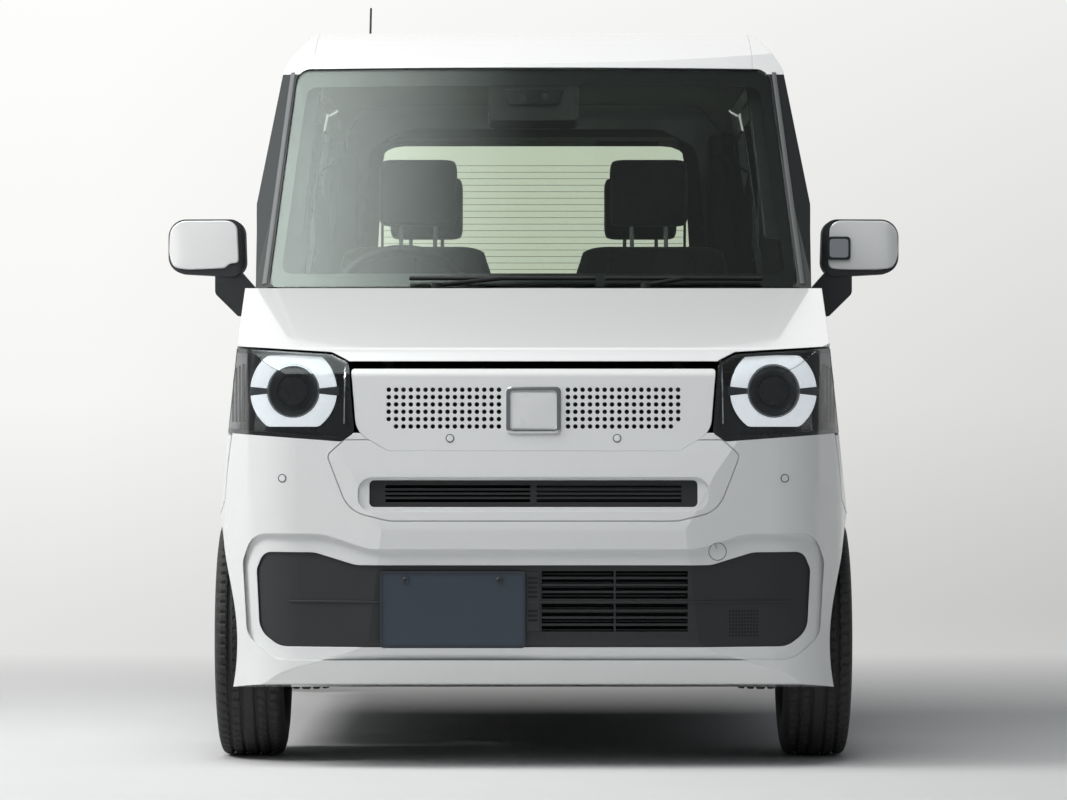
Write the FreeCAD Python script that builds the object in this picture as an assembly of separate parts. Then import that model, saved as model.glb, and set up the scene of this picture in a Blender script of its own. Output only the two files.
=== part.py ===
import FreeCAD, Part
import math
import os

V = FreeCAD.Vector
os.makedirs("parts", exist_ok=True)

# Overall sizes, in millimetres: the nose faces -Y, +X is the car's left, the wheels stand on Z = 0
car_length = 3395.0
car_width = 1475.0
car_height = 1790.0
wheelbase = 2520.0
track_width = 1305.0
front_overhang = 480.0

# Walls and gaps
door_wall = 75.0
frame_wall = 42.0
nose_wall = 26.0
sheet_wall = 12.0
panel_gap = 5.0
seat_fit = 0.3
glass_wall = 5.0
glass_sink = 3.0
overrun = 400.0

# Wheels and arches
tyre_radius = 278.5
tyre_width = 157.0
rim_radius = 178.0
rim_wall = 8.0
arch_radius = 327.0
hub_radius = 52.0
hub_length = 60.0
stub_radius = 15.0
stub_clearance = 0.5
wheel_clearance = 6.0

# Largest part of a run that the rounding of one corner takes
rounding_share = 0.49

nose_y = -car_length / 2
front_axle_y = nose_y + front_overhang
rear_axle_y = front_axle_y + wheelbase
wheel_x = track_width / 2


def station(share):
    """Place along the car, as a share of its length behind the nose."""
    return nose_y + share * car_length


def level(share):
    """Height above the ground, as a share of the car's height."""
    return share * car_height


def breadth(share):
    """Distance from the middle plane, as a share of the half width."""
    return share * car_width / 2


def side_place(u, v):
    return V(0, u, v)


def front_place(u, v):
    return V(u, 0, v)


def plan_place(u, v):
    return V(u, v, 0)


def crossing(first, second):
    """Where two lines meet; each is a point and a direction."""
    (p, d), (q, e) = first, second
    along_first = ((q.x - p.x) * e.y - (q.y - p.y) * e.x) / (d.x * e.y - d.y * e.x)
    return p + d * along_first


def drawn_in(corners, inset):
    """Corners of an outline moved in by an inset; a run that the inset swallows is left out."""
    points = [V(u, v, 0) for u, v, r in corners]
    count = len(points)
    area = sum(points[i].x * points[(i + 1) % count].y - points[(i + 1) % count].x * points[i].y for i in range(count))
    hand = 1 if area > 0 else -1
    runs = []
    for index in range(count):
        way = (points[(index + 1) % count] - points[index]).normalize()
        inward = V(-way.y, way.x, 0) * hand
        before = points[index] - points[index - 1]
        bend = (before.x * way.y - before.y * way.x) * hand
        radius = corners[index][2]
        radius = 0.0 if radius == 0 else max(radius - inset if bend > 0 else radius + inset, 0.0)
        runs.append((points[index] + inward * inset, way, radius))
    while True:
        count = len(runs)
        places = [crossing(runs[i - 1][:2], runs[i][:2]) for i in range(count)]
        lengths = [(places[(i + 1) % count] - places[i]).dot(runs[i][1]) for i in range(count)]
        shortest = min(range(count), key=lambda i: lengths[i])
        if lengths[shortest] > 0:
            return [(places[i].x, places[i].y, runs[i][2]) for i in range(count)]
        runs.pop(shortest)


def outline(corners, place):
    """Closed wire of straight runs; each corner is rounded to its own radius, as far as its runs allow."""
    ends = []
    count = len(corners)
    points = [V(u, v, 0) for u, v, r in corners]
    for index, (u, v, radius) in enumerate(corners):
        here = points[index]
        before = points[index - 1] - here
        after = points[(index + 1) % count] - here
        room = min(before.Length, after.Length) * rounding_share
        before.normalize()
        after.normalize()
        half = before.getAngle(after) / 2
        radius = min(radius, room * math.tan(half))
        if radius == 0:
            ends.append((here, None, here))
            continue
        reach = radius / math.tan(half)
        middle = (before + after).normalize() * (radius / math.sin(half) - radius)
        ends.append((here + before * reach, here + middle, here + after * reach))
    edges = []
    for index, (start, middle, end) in enumerate(ends):
        following = ends[(index + 1) % count][0]
        if middle is not None:
            edges.append(Part.Arc(*[place(p.x, p.y) for p in (start, middle, end)]).toShape())
        edges.append(Part.LineSegment(place(end.x, end.y), place(following.x, following.y)).toShape())
    return Part.Wire(edges)


def side_outline(shares, inset=0.0):
    return outline(drawn_in([(station(y), level(z), level(r)) for y, z, r in shares], inset), side_place)


def front_outline(shares, inset=0.0):
    return outline(drawn_in([(breadth(x), level(z), level(r)) for x, z, r in shares], inset), front_place)


def plan_outline(shares, inset=0.0):
    return outline(drawn_in([(breadth(x), station(y), level(r)) for x, y, r in shares], inset), plan_place)


def both_sides(shares):
    """Right half of an outline, then the same points mirrored on the left."""
    return shares + [(-x, z, r) for x, z, r in reversed(shares)]


def across(wire, start, end):
    """Side outline drawn out along X."""
    face = Part.Face(wire)
    face.translate(V(start, 0, 0))
    return face.extrude(V(end - start, 0, 0))


def along(wire, start, end):
    """Front outline drawn out along Y."""
    face = Part.Face(wire)
    face.translate(V(0, start, 0))
    return face.extrude(V(0, end - start, 0))


def upright(wire, start, end):
    """Plan outline drawn out along Z."""
    face = Part.Face(wire)
    face.translate(V(0, 0, start))
    return face.extrude(V(0, 0, end - start))


def block(x_low, x_high, y_low, y_high, z_low, z_high):
    solid = Part.makeBox(x_high - x_low, y_high - y_low, z_high - z_low)
    solid.translate(V(x_low, y_low, z_low))
    return solid


def mirrored(shape):
    return shape.mirror(V(0, 0, 0), V(1, 0, 0))


def pair(shape):
    """The shape and its mirror image, as separate solids."""
    return Part.makeCompound([shape, mirrored(shape)])


def rod(start, end, radius):
    direction = end - start
    return Part.makeCylinder(radius, direction.Length, start, direction)


def save(name, shape):
    solids = shape.Solids
    result = solids[0] if len(solids) == 1 else Part.makeCompound(solids)
    result.exportStep("parts/" + name + ".step")


# Outer form: a lower body and a cabin above it, each the common part of its side, front and plan outlines
lower_side_shares = [
    (0.022, 0.105, 0.010), (0.002, 0.150, 0.040), (0.000, 0.300, 0.050), (0.004, 0.370, 0.060),
    (0.014, 0.4965, 0.012), (0.030, 0.5265, 0.040), (0.184, 0.6185, 0.060), (0.250, 0.575, 0.060),
    (0.982, 0.575, 0.010), (0.986, 0.520, 0.100), (0.9935, 0.330, 0.020), (1.000, 0.310, 0.015),
    (1.000, 0.190, 0.040), (0.988, 0.130, 0.020), (0.800, 0.095, 0.100), (0.100, 0.088, 0.100),
]
lower_front_shares = [
    (0.930, 0.070, 0.0), (0.970, 0.120, 0.030), (1.000, 0.210, 0.150), (1.000, 0.360, 0.300),
    (0.968, 0.540, 0.200), (0.938, 0.660, 0.0),
]
lower_plan_shares = [
    (0.400, -0.003, 0.400), (0.830, 0.017, 0.120), (0.950, 0.058, 0.110), (1.007, 0.130, 0.400),
    (1.007, 0.930, 0.300), (0.965, 0.985, 0.045), (0.500, 1.004, 0.800),
]
cabin_side_shares = [
    (0.105, 0.450, 0.0), (0.170, 0.604, 0.0), (0.316, 0.920, 0.0), (0.420, 0.985, 0.600),
    (0.540, 1.000, 1.000), (0.760, 1.000, 1.000), (0.940, 0.975, 0.100), (0.968, 0.945, 0.040),
    (0.984, 0.640, 0.200), (0.973, 0.450, 0.0),
]
cabin_front_shares = [
    (0.955, 0.450, 0.0), (0.966, 0.535, 0.0), (0.935, 0.660, 0.200), (0.842, 0.925, 0.035), (0.785, 0.962, 0.040),
    (0.720, 1.010, 0.0),
]
cabin_plan_shares = [
    (0.500, 0.120, 0.0), (0.890, 0.155, 0.030), (0.907, 0.250, 0.400), (0.960, 0.420, 0.900),
    (0.975, 0.880, 0.500), (0.952, 0.9775, 0.045), (0.700, 0.9965, 0.300),
]
screen_foot_share = 0.182
screen_foot_level_share = 0.604
screen_head_share = 0.332
screen_head_level_share = 0.930
screen_bow = 3200.0
shoulder_half_share = 0.949
shoulder_station_share = 0.073
shoulder_level_share = 0.4156
shoulder_draw_share = 0.0538
shoulder_lean_share = 0.1055


def shoulder_side(inset=0.0):
    """Space inside the slanting plane that narrows the left front shoulder towards the nose."""
    out = V(1, -shoulder_draw_share, shoulder_lean_share).normalize()
    foot = V(breadth(shoulder_half_share), station(shoulder_station_share), level(shoulder_level_share))
    space = block(-car_length, 0, -car_length, car_length, -car_length, car_length)
    turn = FreeCAD.Placement(foot - out * inset, FreeCAD.Rotation(V(1, 0, 0), out))
    space.Placement = turn.multiply(space.Placement)
    return space


def lower_form(inset=0.0):
    side = side_outline(lower_side_shares, inset)
    front = front_outline(both_sides(lower_front_shares), inset)
    plan = plan_outline(both_sides(lower_plan_shares), inset)
    form = across(side, -car_width, car_width)
    form = form.common(along(front, -car_length, car_length))
    form = form.common(upright(plan, -car_height, car_height + car_height))
    narrowing = shoulder_side(inset)
    return form.common(narrowing).common(mirrored(narrowing))


def screen_cone(inset=0.0):
    """Bowed surface of the windscreen: a cone about a far upright axis behind it."""
    foot_y = station(screen_foot_share)
    axis_y = foot_y + screen_bow
    rise = level(screen_head_level_share) - level(screen_foot_level_share)
    slope = (station(screen_head_share) - foot_y) / rise
    square = inset * math.sqrt(1 + slope * slope)
    low = screen_bow + slope * level(screen_foot_level_share) - square
    high = low - slope * (car_height + car_height)
    return Part.makeCone(low, high, car_height + car_height, V(0, axis_y, 0))


def cabin_form(inset=0.0):
    side = side_outline(cabin_side_shares, inset)
    front = front_outline(both_sides(cabin_front_shares), inset)
    plan = plan_outline(both_sides(cabin_plan_shares), inset)
    form = across(side, -car_width, car_width)
    form = form.common(along(front, -car_length, car_length))
    form = form.common(upright(plan, -car_height, car_height + car_height))
    return form.common(screen_cone(inset))


def whole_form(inset):
    return lower_form(inset).fuse(cabin_form(inset))


def hollow_form(extra):
    """Space inside the doors, roof and pillars, drawn in by an extra wall."""
    return lower_form(door_wall + extra).fuse(cabin_form(frame_wall + extra))


# Where the panels meet, seen from the side
door_front_share = 0.2485
door_split_share = 0.538
slide_rear_share = 0.782
sill_share = 0.165
door_top_share = 0.915
belt_share = 0.592
bonnet_rear_share = 0.172
front_door_shares = [
    (door_front_share, sill_share, 0.020), (door_front_share, 0.684, 0.010), (0.355, door_top_share, 0.025),
    (door_split_share, door_top_share, 0.006), (door_split_share, sill_share, 0.012),
]
door_top_drop_share = 0.0022
door_rear_trim_share = 0.0006
front_door_panel_shares = [
    (door_front_share, sill_share, 0.020), (door_front_share, 0.682, 0.010),
    (0.355, door_top_share - door_top_drop_share, 0.025),
    (door_split_share - door_rear_trim_share, door_top_share - door_top_drop_share, 0.006),
    (door_split_share - door_rear_trim_share, sill_share, 0.012),
]
front_window_shares = [
    (0.262, belt_share, 0.008), (0.262, 0.688, 0.008), (0.350, 0.890, 0.020), (0.528, 0.890, 0.010),
    (0.528, belt_share, 0.008),
]
slide_door_shares = [
    (door_split_share, sill_share, 0.012), (door_split_share, door_top_share, 0.006),
    (slide_rear_share, door_top_share, 0.025), (slide_rear_share, sill_share, 0.040),
]
slide_window_shares = [
    (0.549, belt_share, 0.008), (0.549, 0.890, 0.010), (0.769, 0.890, 0.020), (0.769, belt_share, 0.020),
]
rear_quarter_shares = [
    (0.798, belt_share, 0.020), (0.798, 0.885, 0.020), (0.912, 0.880, 0.035), (0.928, 0.600, 0.030),
]
front_quarter_shares = [(0.2112, 0.6165, 0.003), (0.2410, 0.6165, 0.003), (0.2410, 0.680, 0.002)]
bonnet_shares = [
    (-0.050, 0.5085, 0.0), (0.018, 0.5085, 0.010), (0.062, 0.5270, 0.020), (0.160, 0.5735, 0.020),
    (bonnet_rear_share, 0.5815, 0.0), (bonnet_rear_share, 0.700, 0.0), (-0.050, 0.700, 0.0),
]
fender_shares = [
    (0.050, 0.4300, 0.0), (0.066, 0.335, 0.0), (0.120, 0.300, 0.0), (0.120, 0.040, 0.0),
    (door_front_share, 0.040, 0.0), (door_front_share, 0.607, 0.0), (bonnet_rear_share, 0.607, 0.0),
    (bonnet_rear_share, 0.5815, 0.0), (0.160, 0.5735, 0.020), (0.062, 0.5270, 0.020), (0.045, 0.520, 0.0),
]
front_bumper_shares = [
    (-0.050, 0.040, 0.0), (0.120, 0.040, 0.0), (0.120, 0.300, 0.0), (0.066, 0.335, 0.0),
    (0.050, 0.4300, 0.0), (-0.050, 0.4300, 0.0),
]
body_side_shares = [
    (0.140, 0.6085, 0.0), (door_front_share, 0.6085, 0.0), (door_front_share, 0.050, 0.0),
    (1.050, 0.050, 0.0), (1.050, 1.050, 0.0), (0.140, 1.050, 0.0),
]
rear_bumper_shares = [(0.930, 0.040, 0.0), (0.930, 0.262, 0.0), (1.050, 0.262, 0.0), (1.050, 0.040, 0.0)]
fuel_lid_shares = [(0.866, 0.462, 0.010), (0.866, 0.540, 0.010), (0.906, 0.540, 0.010), (0.906, 0.462, 0.010)]
b_pillar_shares = [(0.524, 0.1565, 0.0), (0.524, 0.990, 0.0), (0.552, 0.990, 0.0), (0.552, 0.1565, 0.0)]
pillar_in_share = 0.800

# Where the panels meet, seen from the front or the back
ditch_share = 0.739
screen_shares = [(0.857, 0.6135, 0.010), (0.795, 0.9235, 0.020)]
tailgate_shares = [(0.790, 0.262, 0.020), (0.800, 0.600, 0.100), (0.745, 0.950, 0.030)]
rear_window_shares = [(0.690, 0.640, 0.045), (0.645, 0.895, 0.050)]
lamp_shares = [
    (0.5457, 0.4218, 0.008), (0.5837, 0.4111, 0.008), (1.100, 0.4262, 0.0), (1.100, 0.5332, 0.0),
    (0.6187, 0.5209, 0.008), (0.5640, 0.5095, 0.008),
]
grille_shares = [(0.4420, 0.3992, 0.012), (0.5395, 0.4225, 0.030), (0.5560, 0.5024, 0.004)]
badge_shares = [(0.083, 0.4212, 0.010), (0.083, 0.4794, 0.010)]
intake_shares = [
    (0.775, 0.1535, 0.030), (0.838, 0.1720, 0.030), (0.848, 0.2500, 0.020), (0.825, 0.2720, 0.015), (0.668, 0.2720, 0.040),
    (0.540, 0.2562, 0.040),
]
intake_recess_shares = [
    (0.790, 0.1370, 0.040), (0.878, 0.1650, 0.030), (0.893, 0.2600, 0.030), (0.860, 0.2950, 0.030), (0.640, 0.2950, 0.080),
    (0.500, 0.2760, 0.080),
]
upper_cover_shares = [(0.440, 0.3115, 0.040), (0.562, 0.3240, 0.040), (0.628, 0.3935, 0.008), (0.576, 0.4130, 0.0)]
slot_shares = [(0.4985, 0.3291, 0.006), (0.4985, 0.3626, 0.006)]
slot_recess_shares = [(0.533, 0.3235, 0.018), (0.533, 0.3660, 0.018)]
tail_lamp_shares = [(0.826, 0.450, 0.006), (1.100, 0.450, 0.0), (1.100, 0.690, 0.0), (0.818, 0.690, 0.006)]
lamp_rear_share = 0.078
tail_lamp_front_share = 0.958
nose_reach_share = 0.055
screen_reach_share = 0.450
tail_reach_share = 0.900

half_gap = panel_gap / 2
low_outer = lower_form()
outer = whole_form(0.0)
hollow = hollow_form(0.0)
shell = outer.cut(hollow)
nose_shell = low_outer.cut(lower_form(nose_wall))


def side_region(shares, inset=0.0):
    """Left-hand prism of a side outline, drawn in or out by an inset."""
    return across(side_outline(shares, inset), 0, car_width)


def front_region(shares, inset=0.0):
    return along(front_outline(shares, inset), nose_y - overrun, station(screen_reach_share))


def nose_region(shares, inset=0.0):
    return along(front_outline(shares, inset), nose_y - overrun, station(nose_reach_share))


def rear_region(shares, inset=0.0):
    return along(front_outline(shares, inset), station(tail_reach_share), -nose_y + overrun)


def arch_space(axle_y, inner_x):
    return rod(V(inner_x, axle_y, tyre_radius), V(car_width, axle_y, tyre_radius), arch_radius)


def glass_skin():
    return whole_form(glass_sink).cut(whole_form(glass_sink + glass_wall))


glass = glass_skin()
screen_outline_shares = both_sides(screen_shares)
tailgate_outline_shares = both_sides(tailgate_shares)
rear_window_outline_shares = both_sides(rear_window_shares)
grille_outline_shares = both_sides(grille_shares)
intake_outline_shares = both_sides(intake_shares)
slot_outline_shares = both_sides(slot_shares)
intake_recess_outline_shares = both_sides(intake_recess_shares)
slot_recess_outline_shares = both_sides(slot_recess_shares)
upper_cover_outline_shares = both_sides(upper_cover_shares)

front_door_space = side_region(front_door_shares, -half_gap)
slide_door_space = side_region(slide_door_shares, -half_gap)
lamp_space = along(front_outline(lamp_shares, -seat_fit), nose_y - overrun, station(lamp_rear_share) + seat_fit)
lamp_gap_space = along(front_outline(lamp_shares, -panel_gap), nose_y - overrun, station(lamp_rear_share) + panel_gap)
tail_lamp_space = along(front_outline(tail_lamp_shares, -seat_fit), station(tail_lamp_front_share), -nose_y + overrun)
front_arch = arch_space(front_axle_y, 0)
rear_arch = arch_space(rear_axle_y, 0)

# Body side: pillars, sill, roof rail and rear quarter with its flanges for the doors and the tailgate
fuel_pocket_depth = 45.0
fuel_lid_wall = 10.0
fuel_neck_radius = 34.0
fuel_gap = 3.0
pillar_depth = 48.0
flange_width = 22.0
jack_pad_depth = 16.0
jack_pad_size = 46.0
jack_pad_rise = 60.0
jack_pad_level_share = 0.094
jack_front_share = 0.300
jack_rear_share = 0.760
jack_x_share = 0.880
flange_low_share = 0.292
flange_high_share = 0.895
cowl_half_share = 0.860
cowl_low_share = 0.550
cowl_high_share = 0.6135
cowl_space = block(0, breadth(cowl_half_share) + seat_fit, station(bonnet_rear_share), station(door_front_share),
                   level(cowl_low_share), level(cowl_high_share))


def body_side():
    side = shell.common(side_region(body_side_shares))
    side = side.common(block(breadth(ditch_share), car_width, -car_length, car_length, 0, car_height + overrun))
    behind_doors = hollow.cut(hollow_form(pillar_depth))
    seal_gap = hollow.cut(hollow_form(seat_fit))
    pillar = behind_doors.common(side_region(b_pillar_shares))
    pillar = pillar.common(block(breadth(pillar_in_share), car_width, -car_length, car_length, 0, car_height))
    side = side.fuse(pillar.cut(seal_gap.common(front_door_space.fuse(slide_door_space))))
    frame = rear_region(tailgate_outline_shares, -flange_width).cut(rear_region(tailgate_outline_shares, flange_width))
    frame = frame.common(behind_doors)
    frame = frame.common(block(breadth(ditch_share), car_width, 0, car_length, level(flange_low_share),
                               level(flange_high_share)))
    side = side.fuse(frame.cut(seal_gap.common(rear_region(tailgate_outline_shares, -half_gap))))
    door_cut = shell.common(front_door_space.fuse(slide_door_space))
    side = side.cut(door_cut)
    side = side.cut(shell.common(rear_region(tailgate_outline_shares, -half_gap)))
    side = side.cut(front_region(screen_outline_shares)).cut(cowl_space)
    side = side.cut(side_region(rear_quarter_shares)).cut(side_region(front_quarter_shares))
    side = side.cut(tail_lamp_space)
    side = side.cut(side_region(rear_bumper_shares, -half_gap))
    side = side.cut(rear_arch)
    for share in (jack_front_share, jack_rear_share):
        pad = block(-jack_pad_size, jack_pad_size, -jack_pad_size, jack_pad_size, -jack_pad_depth, jack_pad_rise)
        pad.translate(V(breadth(jack_x_share), station(share), level(jack_pad_level_share)))
        side = side.fuse(pad)
    return max(side.removeSplitter().Solids, key=lambda solid: solid.Volume)


def fuel_pocket():
    return low_outer.cut(lower_form(fuel_pocket_depth)).common(side_region(fuel_lid_shares, -fuel_gap))


def fuel_neck():
    middle_y = station((fuel_lid_shares[0][0] + fuel_lid_shares[2][0]) / 2)
    middle_z = level((fuel_lid_shares[0][1] + fuel_lid_shares[1][1]) / 2)
    neck = rod(V(0, middle_y, middle_z), V(car_width, middle_y, middle_z), fuel_neck_radius)
    return neck.common(lower_form(fuel_lid_wall + seat_fit).cut(lower_form(fuel_pocket_depth + fuel_gap)))


plain_side = body_side()
save("body_side_right", mirrored(plain_side))
save("body_side_left", plain_side.cut(fuel_pocket()).fuse(fuel_neck()))
fuel_lid = low_outer.cut(lower_form(fuel_lid_wall)).common(side_region(fuel_lid_shares))
save("fuel_lid", fuel_lid)

# Roof between the two ditches
roof_edge = breadth(ditch_share) - seat_fit
roof = shell.common(block(-roof_edge, roof_edge, station(0.2), station(0.99), level(0.905), car_height + overrun))
roof = roof.cut(front_region(screen_outline_shares))
roof = roof.cut(rear_region(tailgate_outline_shares, -half_gap))
save("roof", roof)

# Doors: the whole wall, with the window cut through
pane_fit = seat_fit
rebate_wall = 16.0
rebate_width = 8.0
front_door = shell.common(side_region(front_door_panel_shares, half_gap)).cut(side_region(front_window_shares))
rebate_y = station(door_split_share - door_rear_trim_share) - half_gap - rebate_width
front_door = front_door.cut(whole_form(rebate_wall).common(block(0, car_width, rebate_y, car_length, 0, car_height)))
slide_door = shell.common(side_region(slide_door_shares, half_gap)).cut(side_region(slide_window_shares))
front_pane = glass.common(side_region(front_window_shares, pane_fit))
slide_pane = glass.common(side_region(slide_window_shares, pane_fit))
quarter_panes = glass.common(side_region(rear_quarter_shares, pane_fit))
quarter_panes = quarter_panes.fuse(glass.common(side_region(front_quarter_shares, pane_fit)))
roller_width = 36.0


def slide_rollers():
    """Roller brackets that stand on the sill under the sliding door."""
    seats = []
    for share in (door_split_share + 0.03, slide_rear_share - 0.04):
        low_z = level(sill_share) - half_gap + seat_fit
        foot = block(0, roller_width, 0, roller_width, 0, panel_gap + panel_gap)
        foot.translate(V(breadth(0.93), station(share), low_z))
        seats.append(foot)
    return seats[0].fuse(seats[1])


slide_door = slide_door.fuse(slide_rollers())
save("sliding_doors", pair(slide_door))
save("side_glass", Part.makeCompound([slide_pane, mirrored(slide_pane)] + quarter_panes.Solids
                                     + mirrored(quarter_panes).Solids))

# Door mirrors, handles and the front doors that carry them
mirror_out_share = 1.208
mirror_in_share = 0.948
mirror_low_share = 0.630
mirror_high_share = 0.709
mirror_front_share = 0.262
mirror_rear_share = 0.291
mirror_foot_shares = [
    (0.905, 0.5775, 0.0), (0.975, 0.5775, 0.003), (1.050, 0.608, 0.010), (1.050, 0.650, 0.0), (0.990, 0.650, 0.0),
    (0.905, 0.610, 0.0),
]
handle_length = 170.0
handle_drop = 26.0
handle_depth = 22.0
handle_wall = 14.0
handle_foot = 34.0
handle_share = 0.545


def door_mirror():
    head_front = front_outline([
        (mirror_in_share, mirror_low_share, 0.020), (mirror_out_share, mirror_low_share + 0.006, 0.026),
        (mirror_out_share, mirror_high_share, 0.026), (mirror_in_share + 0.006, mirror_high_share, 0.020),
    ])
    head_plan = plan_outline([
        (mirror_in_share - 0.02, mirror_front_share + 0.004, 0.020), (mirror_out_share, mirror_front_share + 0.009, 0.020),
        (mirror_out_share, mirror_rear_share, 0.004), (mirror_in_share - 0.02, mirror_rear_share, 0.004),
    ])
    head = along(head_front, station(mirror_front_share) - overrun, station(mirror_rear_share))
    head = head.common(upright(head_plan, 0, car_height))
    foot = front_outline(mirror_foot_shares)
    foot = along(foot, station(mirror_front_share + 0.006), station(mirror_rear_share - 0.006))
    return head.fuse(foot.cut(whole_form(-seat_fit))).removeSplitter()


def door_handle(rear_share):
    """Pull handle on two feet, standing off the door skin."""
    rear_y = station(rear_share)
    middle_z = level(handle_share)
    grip = whole_form(-handle_depth).cut(whole_form(-handle_depth + handle_wall))
    grip = grip.common(block(0, car_width, rear_y - handle_length, rear_y, middle_z - handle_drop / 2,
                             middle_z + handle_drop / 2))
    feet = whole_form(-handle_depth + handle_wall).cut(outer)
    ends = block(0, car_width, rear_y - handle_length, rear_y - handle_length + handle_foot,
                 middle_z - handle_drop / 2, middle_z + handle_drop / 2)
    ends = ends.fuse(block(0, car_width, rear_y - handle_foot, rear_y, middle_z - handle_drop / 2,
                           middle_z + handle_drop / 2))
    return grip.fuse(feet.common(ends))


front_handle_share = 0.522
slide_handle_share = 0.552 + handle_length / car_length
front_door = front_door.fuse(door_handle(front_handle_share)).removeSplitter()
mirror_left = door_mirror()
for side_name, turn in (("left", lambda shape: shape), ("right", mirrored)):
    save("front_door_" + side_name, turn(front_door))
    save("front_door_glass_" + side_name, turn(front_pane))
    save("door_mirror_" + side_name, turn(mirror_left))

# Windscreen and cowl
windscreen = glass.common(front_region(screen_outline_shares, pane_fit))
save("windscreen", windscreen)
cowl_shares = [
    (0.1735, 0.5980, 0.0), (0.1735, 0.6050, 0.003), (0.1860, 0.6105, 0.004), (0.2120, 0.6105, 0.0),
    (0.2120, 0.6012, 0.0), (0.1860, 0.6012, 0.0),
]
cowl = across(side_outline(cowl_shares), -breadth(cowl_half_share), breadth(cowl_half_share))
save("cowl_top", cowl)
bulkhead_front_share = 0.2055
bulkhead_rear_share = 0.2095
bulkhead_shares = [
    (bulkhead_front_share, 0.150, 0.0), (bulkhead_front_share, 0.6010, 0.0), (bulkhead_rear_share, 0.6010, 0.0),
    (bulkhead_rear_share, 0.150, 0.0),
]
bulkhead_half_share = 0.885
bulkhead = across(side_outline(bulkhead_shares), -breadth(bulkhead_half_share), breadth(bulkhead_half_share))
liner_wall = 6.0
rail_out = 400.0
front_house = rod(V(rail_out - seat_fit, front_axle_y, tyre_radius), V(car_width, front_axle_y, tyre_radius),
                  arch_radius + liner_wall + seat_fit)
front_houses = pair(front_house)
bulkhead_shoulder_share = 0.576
shoulder = block(breadth(cowl_half_share), car_width, -car_length, 0, level(bulkhead_shoulder_share), car_height)
save("bulkhead", bulkhead.cut(front_houses).cut(pair(shoulder)))

# Bonnet, front fenders and front bumper
bonnet = nose_shell.common(across(side_outline(bonnet_shares, half_gap), -car_width, car_width))
bonnet = bonnet.cut(lamp_gap_space).cut(mirrored(lamp_gap_space))
save("bonnet", bonnet)
fender_inner_share = 0.600
fender = nose_shell.common(side_region(fender_shares, half_gap)).cut(lamp_gap_space).cut(front_arch)
fender = fender.common(block(breadth(fender_inner_share), car_width, -car_length, 0, 0, car_height)).cut(cowl_space)
save("front_fenders", pair(fender))

bumper = nose_shell.common(across(side_outline(front_bumper_shares, half_gap), -car_width, car_width))
bumper = bumper.cut(lamp_space).cut(mirrored(lamp_space)).cut(front_arch).cut(mirrored(front_arch))
neck_x = breadth(lamp_shares[1][0])
bumper = bumper.cut(block(-neck_x, neck_x, nose_y - overrun, 0, level(lamp_shares[0][1]), car_height))
intake_recess = 10.0
slot_recess = 7.0
seam_depth = 4.0
seam_half = 1.0
intake_hollow = low_outer.cut(lower_form(intake_recess)).common(nose_region(intake_recess_outline_shares))
slot_hollow = low_outer.cut(lower_form(slot_recess)).common(nose_region(slot_recess_outline_shares))
cover_seam = nose_region(upper_cover_outline_shares, -seam_half).cut(nose_region(upper_cover_outline_shares, seam_half))
cover_seam = cover_seam.common(low_outer.cut(lower_form(seam_depth)))
for opening in (nose_region(grille_outline_shares, -seat_fit), nose_region(intake_outline_shares),
                nose_region(slot_outline_shares), intake_hollow, slot_hollow, cover_seam):
    bumper = bumper.cut(opening)
save("front_bumper", bumper)

# Grille panel with a bare badge pad
panel_wall = 12.0
panel_sink = 2.0
badge_stand = 3.0
grille = lower_form(panel_sink).cut(lower_form(panel_sink + panel_wall)).common(nose_region(grille_outline_shares))
badge_outline_shares = both_sides(badge_shares)
badge = lower_form(panel_sink - badge_stand).cut(lower_form(panel_sink + panel_wall))
badge = badge.common(nose_region(badge_outline_shares))
grille = grille.fuse(badge).removeSplitter()
save("grille_panel", grille)

# Lower grille and the slot grille above it, in black
grille_sink = 14.0
grille_wall = 26.0
bar_height = 5.0
window_left_shares = (0.0250, 0.2440)
window_right_shares = (0.2500, 0.4690)
window_low_shares = (0.1730, 0.2080)
window_high_shares = (0.2140, 0.2490)
bar_count = 3


def barred_window(x_shares, z_shares):
    """Opening of a grille less the level bars that stay in it."""
    low_x, high_x = (breadth(share) for share in x_shares)
    low_z, high_z = (level(share) for share in z_shares)
    space = block(low_x, high_x, nose_y - overrun, station(0.08), low_z, high_z)
    step = (high_z - low_z) / (bar_count + 1)
    for index in range(bar_count):
        middle = low_z + (index + 1) * step
        space = space.cut(block(low_x, high_x, nose_y - overrun, station(0.08), middle - bar_height / 2,
                                middle + bar_height / 2))
    return space


grille_skin = lower_form(grille_sink).cut(lower_form(grille_sink + grille_wall))
lower_grille = grille_skin.common(nose_region(intake_outline_shares, seat_fit))
for x_pair in (window_left_shares, window_right_shares):
    for z_pair in (window_low_shares, window_high_shares):
        lower_grille = lower_grille.cut(barred_window(x_pair, z_pair))
slot_grille = grille_skin.common(nose_region(slot_outline_shares, seat_fit))
slot_window_half_share = 0.450
slot_grille = slot_grille.cut(barred_window((-slot_window_half_share, -0.010), (0.3350, 0.3565)))
slot_grille = slot_grille.cut(barred_window((0.010, slot_window_half_share), (0.3350, 0.3565)))
save("bumper_grilles", Part.makeCompound(lower_grille.Solids + slot_grille.Solids))

# Headlamps: a housing with a light ring round a projector, behind a clear lens
lens_wall = 4.0
lamp_depth = 120.0
cavity_depth = 58.0
cavity_wall = 9.0
ring_x_share = 0.7335
ring_z_share = 0.4745
ring_outer = 98.0
ring_inner = 60.0
ring_half_height = 80.0
ring_gap_half = 9.0
projector_radius = 32.0
ring_sink = 18.0
projector_sink = 12.0


def lamp_region(inset):
    return along(front_outline(lamp_shares, inset), nose_y - overrun, station(lamp_rear_share))


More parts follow.
